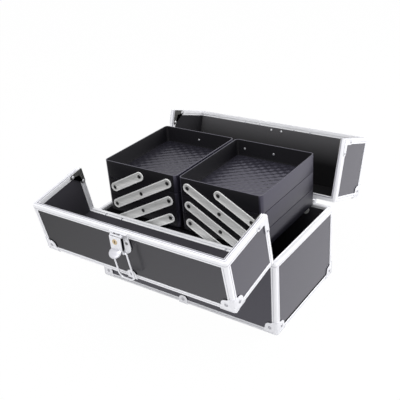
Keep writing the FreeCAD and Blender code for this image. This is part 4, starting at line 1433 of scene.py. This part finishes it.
@dataclass
class Handle:
    """The carrying handle on the rear lid."""

    place: float = 55.0
    set_back: float = 11.0
    axis_height: float = 9.5
    reach: float = 40.0
    grip_radius: float = 6.55
    grip_swell: float = 0.65
    grip_half: float = 61.0
    grip_points: int = 28
    ripple: float = 0.25
    ripple_rate: float = 40.0
    ripple_end: float = 0.7
    end_power: int = 14
    end_share: float = 0.12
    arm_half: float = 2.7
    arm_side: float = 4.4
    arm_rounds: Span = (4.3, 2.0)

    def grip(self) -> Shell:
        """The moulded grip.

        For t from -1 to 1 its radius is the square root of 1 - |t|^power, times the sum of the
        grip's radius, swell * cos(pi t / 2) and, away from the ends, ripple * cos(rate * t).

        Returns:
            The grip in handle coordinates.
        """
        t = np.concatenate([[-1.0, -0.995], np.linspace(-0.98, 0.98, 49), [0.995, 1.0]])
        ends = np.sqrt(np.clip(1.0 - np.abs(t) ** self.end_power, self.end_share, 1.0))
        ripple = self.ripple * np.cos(t * self.ripple_rate) * (np.abs(t) < self.ripple_end)
        radius = (self.grip_radius + self.grip_swell * np.cos(t * np.pi / 2.0) + ripple) * ends
        ring = radius[:, None, None] * circle(1.0, self.grip_points)
        x = np.broadcast_to((t * self.grip_half)[:, None], ring.shape[:2])
        return carried(np.stack([x, self.reach + ring[..., 0], ring[..., 1]], axis=-1))

    def build(self) -> None:
        """The grip on two flat arms."""
        side, reach = self.arm_side, self.reach
        eye, end = self.arm_rounds
        corners = [(-side, -side, eye), (reach, -side, end), (reach, side, end), (-side, side, eye)]
        arm = sheet(filleted(corners, steps=8), 2.0 * self.arm_half, soft=0.5)
        parts = [self.grip()]
        for hand in Hand:
            parts.append(arm.moved(end_place((hand.value * self.place - self.arm_half, 0, 0))))
        y, z = SIZES.split_y(Side.REAR) + self.set_back, SIZES.top + self.axis_height
        axis = (SIZES.swing(Side.REAR) @ np.array([0.0, y, z, 1.0]))[:3]
        opened = placed(parts, shift(*axis) @ turned_x(-90.0))
        Piece.make(
            "carrying_handle_moulded", opened, [GRIP], "handle", "handle_plastic", ["handle"],
        )


@dataclass
class TrayStack:
    """Three trays on one hand with their rivets and arms."""

    hand: Hand
    near: float = 2.4
    width: float = 151.0
    half_depth: float = 87.5
    height: float = 31.0
    wall: float = 2.0
    corner: float = 6.5
    lowest: float = 141.5
    pitch: float = 31.5
    pivot_inner: float = 20.0
    pivot_pitch: float = 57.7
    pivot_rise: float = 15.5
    arm_half: float = 8.0
    arm_gap: float = 0.4
    arm_thick: float = 1.5
    arm_press: tuple[Span, ...] = (
        (0.3, 0.0), (0.0, 0.3), (0.0, 1.15), (0.15, 1.4), (0.4, 1.5), (1.5, 1.5), (2.0, 1.2),
    )
    head_gap: float = 0.2
    head_radius: float = 3.4
    head_rise: float = 1.0
    head_sink: float = 0.3
    washer: float = 0.3
    stem_radius: float = 2.2
    stem_past: float = 0.5
    tail_radius: float = 2.3
    scale_pitch: float = 18.0
    scale_row: float = 15.0
    scale_rise: float = 1.3
    scale_samples: int = 9
    scale_margin: float = 2.2
    scale_fade: float = 3.0
    scale_lift: float = 0.02
    shade_face_depth: float = 0.2

    @property
    def label(self) -> str:
        """The first word of this stack's names."""
        return self.hand.name.lower()

    def pivot(self, level: int, step: int) -> Span:
        """The x and z of a pivot by level from the lowest tray and by step from the middle."""
        x = self.hand.value * (self.pivot_inner + step * self.pivot_pitch)
        return x, self.lowest + level * self.pitch + self.pivot_rise

    def floor(self) -> Shell:
        """The embossed floor: rows of bumps and hollows in turn.

        Its height is rise * (1 + sin(2 pi x / p) * sin(2 pi y / q)) / 2, faded out at the walls. A
        skirt and a flat underside, sunk in the tray's own floor, close it.

        Returns:
            The closed shell about the middle of the floor.
        """
        past = self.wall + self.scale_margin
        halves = self.width / 2.0 - past, self.half_depth - past
        pitches = self.scale_pitch, self.scale_row
        counts = [2 * int(h / p * self.scale_samples) + 1 for h, p in zip(halves, pitches)]
        axes = [np.linspace(-half, half, count) for half, count in zip(halves, counts)]
        waves = [np.sin(2.0 * np.pi * axis / pitch) for axis, pitch in zip(axes, pitches)]
        fades = [
            np.clip((half - np.abs(axis)) / self.scale_fade, 0.0, 1.0)
            for half, axis in zip(halves, axes)
        ]
        height = self.scale_rise * (0.5 + 0.5 * np.outer(*waves)) * np.outer(*fades)
        top = np.stack([*np.meshgrid(*axes, indexing="ij"), height], axis=-1).reshape(-1, 3)
        index = np.arange(len(top)).reshape(counts)
        quads = np.stack([index[:-1, :-1], index[1:, :-1], index[1:, 1:], index[:-1, 1:]], axis=-1)
        border = np.concatenate([
            index[:, 0], index[-1, 1:], index[-2::-1, -1], index[0, -2:0:-1],
        ])
        sunk = top[border] - np.array([0.0, 0.0, self.wall / 2.0])
        foot = len(top) + np.arange(len(border))
        skirt = np.stack([foot, np.roll(foot, -1), np.roll(border, -1), border], axis=-1)
        faces = [quads.reshape(-1, 4), skirt, foot[None, ::-1]]
        return Shell(np.concatenate([top, sunk]), faces, [0, 0, 0])

    def box(self) -> Shell:
        """The tray's walls and floor, with softened rims and finish numbers for in and outside: the
        inner walls and the front and rear faces get painted shade.

        Returns:
            The closed shell about the middle of the underside.
        """
        wall, top = self.wall, self.height
        outside = [(1.4, 0.0), (0.5, 0.15), (0.0, 0.8), (0.0, top - 0.55), (0.15, top - 0.15)]
        rim = [(0.5, top), (1.5, top), (1.85, top - 0.15), (wall, top - 0.55)]
        inside = [(wall, wall + 1.6), (wall + 0.5, wall + 0.5), (wall + 1.6, wall)]
        layers = outside + rim + inside
        # The inner walls get painted shade, and so do the front and rear faces below.
        outer_gaps, inner_gaps = 7, 4
        bands = [0] * outer_gaps + [SECOND] * inner_gaps
        outline = box_outline(self.width / 2.0, self.half_depth, self.corner, steps=8)
        skin = self.half_depth - self.shade_face_depth
        walls = stacked(outline, layers, bands)
        return walls.painted(lambda spot: np.abs(spot[:, 1]) > skin, SECOND)

    def rivet(self, x: float, z: float, side: Side) -> list[Shell]:
        """One pivot rivet: outer head, stem, washer and tail.

        Args:
            x: Its place across the case.
            z: Its level.
            side: The tray wall that it passes through.

        Returns:
            The shells in place.
        """
        sign, wall = side.value, self.half_depth
        past = wall + self.arm_gap + self.arm_thick + self.head_gap
        inner = wall - self.wall
        head = dome(self.head_radius, self.head_rise)
        stem = circle(self.stem_radius, count=16)
        ends = inner - self.stem_past, past + self.head_sink
        washer = sheet(circle(self.head_radius, HEAD_POINTS), self.washer, soft=0.05)
        tail = dome(self.tail_radius, self.head_rise).toned(SECOND)
        return [
            head.moved(wall_place((x, sign * past, z), sign)),
            bar(stem, wall_place((x, 0, z), sign), *ends),
            washer.moved(wall_place((x, sign * wall, z), sign)),
            tail.moved(wall_place((x, sign * inner, z), -sign)),
        ]

    def tray(self, name: str, level: int, pivots: Sequence[int]) -> None:
        """One tray with its rivets.

        Args:
            name: The tray's place in the stack.
            level: Its number from the lowest.
            pivots: The pivot steps that it carries.
        """
        low = self.lowest + level * self.pitch
        middle = self.hand.value * (self.near + self.width / 2.0)
        floor = self.floor().toned(THIRD)
        parts = [
            self.box().moved(shift(middle, 0.0, low)),
            floor.moved(shift(middle, 0.0, low + self.wall + self.scale_lift)),
        ]
        body = f"{self.label}_{name}_tray"
        finishes = [TRAY_SHADED_LOW, TRAY_PAINTED_SHADE, TRAY_FLOOR_SHADED]
        Piece.make(f"{body}_moulded", parts, finishes, body, "tray_plastic", [body])
        heads = []
        for step in pivots:
            for side in Side:
                heads += self.rivet(*self.pivot(level, step), side)
        Piece.make(
            f"{body}_rivet_heads", heads, [BLACK, TAIL], body, "black_metal", [f"{body}_rivets"],
        )

    def arms(self, name: str, level: int, step: int, spans: int) -> None:
        """A front and a rear arm with a raised border round a brushed, sunken middle.

        Args:
            name: The arms' name.
            level: Level of the lower pivot.
            step: Step of the lower pivot.
            spans: Pivots passed on the way up to the middle.
        """
        low = np.array(self.pivot(level, step))
        way = np.array(self.pivot(level + spans, step - spans)) - low
        span = float(np.linalg.norm(way))
        way, r = way / span, self.arm_half
        outline = slab((-r, span + r), (-r, r), (r - EASE / 2.0, r - EASE / 2.0), steps=12)
        bands = [0] * len(self.arm_press) + [SECOND]
        arm = stacked(outline, self.arm_press, bands)
        parts = []
        for side in Side:
            spot = (low[0], side.value * (self.half_depth + self.arm_gap), low[1])
            along, across = (way[0], 0, way[1]), (-way[1], 0, way[0])
            parts.append(arm.moved(frame(spot, along, across, (0, side.value, 0))))
        body = f"{self.label}_{name}"
        finishes = [ARM_EDGE, ARM_FACES[self.hand]]
        Piece.make(f"{body}_pressed", parts, finishes, body, "arm_steel", [body])

    def build(self) -> None:
        """Builds the stack."""
        self.tray("bottom", 0, (0, 1, 2))
        self.tray("middle", 1, (0, 1, 2))
        self.tray("top", 2, (0, 1))
        self.arms("lower_short_arms", -1, 1, 1)
        self.arms("lower_long_arms", -1, 2, 2)
        self.arms("upper_long_arms", 0, 2, 2)
        self.arms("upper_short_arms", 1, 2, 1)


@dataclass
class KeptSolids:
    """Finishes for the solids that are shown as they are, by the first rule word in their names."""

    # The front lid panel takes painted shade and the end panels take painted light.
    rules: tuple[tuple[str, Finish], ...] = (
        ("lining", LINING), ("front_lid_top_panel", FRONT_BOARD_SHADED), ("side_panels", END_BOARD_LIT),
        ("panel", BOARD), ("studs", BLACK),
    )
    other: Finish = STEEL

    def dress(self, nodes: dict[str, bpy.types.Object]) -> None:
        """Gives each shown solid its finish.

        Args:
            nodes: The frame's objects by node name.
        """
        for name, item in nodes.items():
            if item.hide_render:
                continue
            finish = next((finish for word, finish in self.rules if word in name), self.other)
            item.data.materials.clear()
            item.data.materials.append(finish.material())
            LOG.info("%s keeps its solid with %s", name, finish.name)


@dataclass
class Studio:
    """Pale floor, soft lamps and the camera, in metres."""

    eye: Axis = (0.58429448, -0.81745004, 0.67332522)
    right: Axis = (0.82188848, 0.56525152, -0.07064028)
    up: Axis = (-0.2087663, 0.41426201, 0.88589143)
    back: Axis = (0.53001506, -0.71335665, 0.45848264)
    lens: float = 58.924
    sensor: float = 36.0
    nearest: float = 0.05
    ambient: float = 0.64
    ambient_tint: Axis = (0.97, 0.98, 1.0)
    white: Axis = (1.0, 1.0, 1.0)
    floor_reach: float = 6.0
    floor_tone: Axis = (0.9, 0.9, 0.9)
    floor_roughness: float = 0.9
    floor_specular: float = 0.1
    floor_white: float = 0.985
    aim: Axis = (0.0, 0.0, 0.12)
    lamps: tuple[tuple[str, Axis, float, float], ...] = (
        ("right_key", (1.5, 1.1, 0.8), 1.3, 28.0),
        ("front_fill", (0.3, -1.9, 1.2), 1.4, 11.0),
        ("overhead", (0.0, -0.2, 2.0), 1.6, 22.0),
    )

    @staticmethod
    def added(name: str, data: bpy.types.ID) -> bpy.types.Object:
        """Adds an object with its data to the scene.

        Args:
            name: The object's name.
            data: Its camera, lamp or mesh.

        Returns:
            The object.
        """
        item = bpy.data.objects.new(name, data)
        bpy.context.collection.objects.link(item)
        return item

    @staticmethod
    def shown_white(tree: bpy.types.NodeTree) -> bpy.types.NodeSocket:
        """One where a ray comes from the camera or a shiny surface, and nothing elsewhere.

        Args:
            tree: The node tree that needs it.

        Returns:
            The socket with that value.
        """
        path, either = add_node(tree, "LightPath"), add_node(tree, "Math", sum_kind="MAXIMUM")
        for number, kind in enumerate(("Is Camera Ray", "Is Glossy Ray")):
            link(tree, (path.outputs[kind], either.inputs[number]))
        return either.outputs[0]

    @staticmethod
    def mixed(
        tree: bpy.types.NodeTree, share: bpy.types.NodeSocket, first: bpy.types.Node,
        second: bpy.types.Node, target: str,
    ) -> None:
        """Mixes two shaders into the surface of an output.

        Args:
            tree: The node tree.
            share: The share of the second shader.
            first: The first shader.
            second: The second shader.
            target: The name of the output node.
        """
        mix = add_node(tree, "MixShader")
        link(
            tree, (share, mix.inputs[0]), (first.outputs[0], mix.inputs[1]),
            (second.outputs[0], mix.inputs[2]),
            (mix.outputs[0], tree.nodes[target].inputs["Surface"]),
        )

    def camera(self) -> None:
        """The camera at the photograph's angle."""
        data = bpy.data.cameras.new("view")
        data.lens = self.lens
        data.sensor_width = self.sensor
        data.clip_start = self.nearest
        item = self.added("view", data)
        turn = Matrix((self.right, self.up, self.back)).transposed().to_4x4()
        item.matrix_world = Matrix.Translation(self.eye) @ turn
        bpy.context.scene.camera = item

    def world(self) -> None:
        """White behind the object and an even dim light around it."""
        world = bpy.data.worlds.new("studio")
        bpy.context.scene.world = world
        world.use_nodes = True
        tree = world.node_tree
        dim = {"Color": (*self.ambient_tint, 1.0), "Strength": self.ambient}
        soft = preset(tree.nodes["Background"], dim)
        white = add_node(tree, "Background", {"Color": (*self.white, 1.0), "Strength": 1.0})
        self.mixed(tree, self.shown_white(tree), soft, white, "World Output")

    def floor(self) -> None:
        """A wide pale floor that keeps a light shadow."""
        mesh = bpy.data.meshes.new("floor")
        ways = ((-1, -1), (1, -1), (1, 1), (-1, 1))
        corners = [(x * self.floor_reach, y * self.floor_reach, 0) for x, y in ways]
        mesh.from_pydata(corners, [], [(0, 1, 2, 3)])
        made = bpy.data.materials.new("pale_floor")
        made.use_nodes = True
        tree = made.node_tree
        shader = preset(tree.nodes["Principled BSDF"], {
            "Base Color": (*self.floor_tone, 1.0), "Roughness": self.floor_roughness,
            "Specular IOR Level": self.floor_specular,
        })
        glow = add_node(tree, "Emission", {"Strength": 1.0})
        share = add_node(tree, "Math", {1: self.floor_white}, "MULTIPLY")
        link(tree, (self.shown_white(tree), share.inputs[0]))
        self.mixed(tree, share.outputs[0], shader, glow, "Material Output")
        mesh.materials.append(made)
        self.added("floor", mesh)

    def lamp(self, name: str, spot: Axis, size: float, power: float) -> None:
        """A square soft lamp aimed at the case.

        Args:
            name: The lamp's name.
            spot: Where it stands.
            size: The length of its sides.
            power: Its power in watts.
        """
        data = bpy.data.lights.new(name, "AREA")
        data.size = size
        data.energy = power
        item = self.added(name, data)
        item.location = spot
        item.rotation_mode = "QUATERNION"
        item.rotation_quaternion = (Vector(spot) - Vector(self.aim)).to_track_quat("Z", "Y")

    def build(self) -> None:
        """Sets up the whole studio."""
        bpy.context.scene.view_settings.view_transform = "Standard"
        self.camera()
        self.world()
        self.floor()
        for lamp in self.lamps:
            self.lamp(*lamp)


def main() -> None:
    """Builds every sub-assembly on the frame."""
    logging.basicConfig(level=logging.INFO, format="%(message)s")
    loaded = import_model()
    BaseBox().build()
    for side in Side:
        LidHalf(side).build()
    Latch().build()
    Handle().build()
    for hand in Hand:
        TrayStack(hand).build()
    KeptSolids().dress(loaded["nodes"])
    Studio().build()


if __name__ == "__main__":
    main()
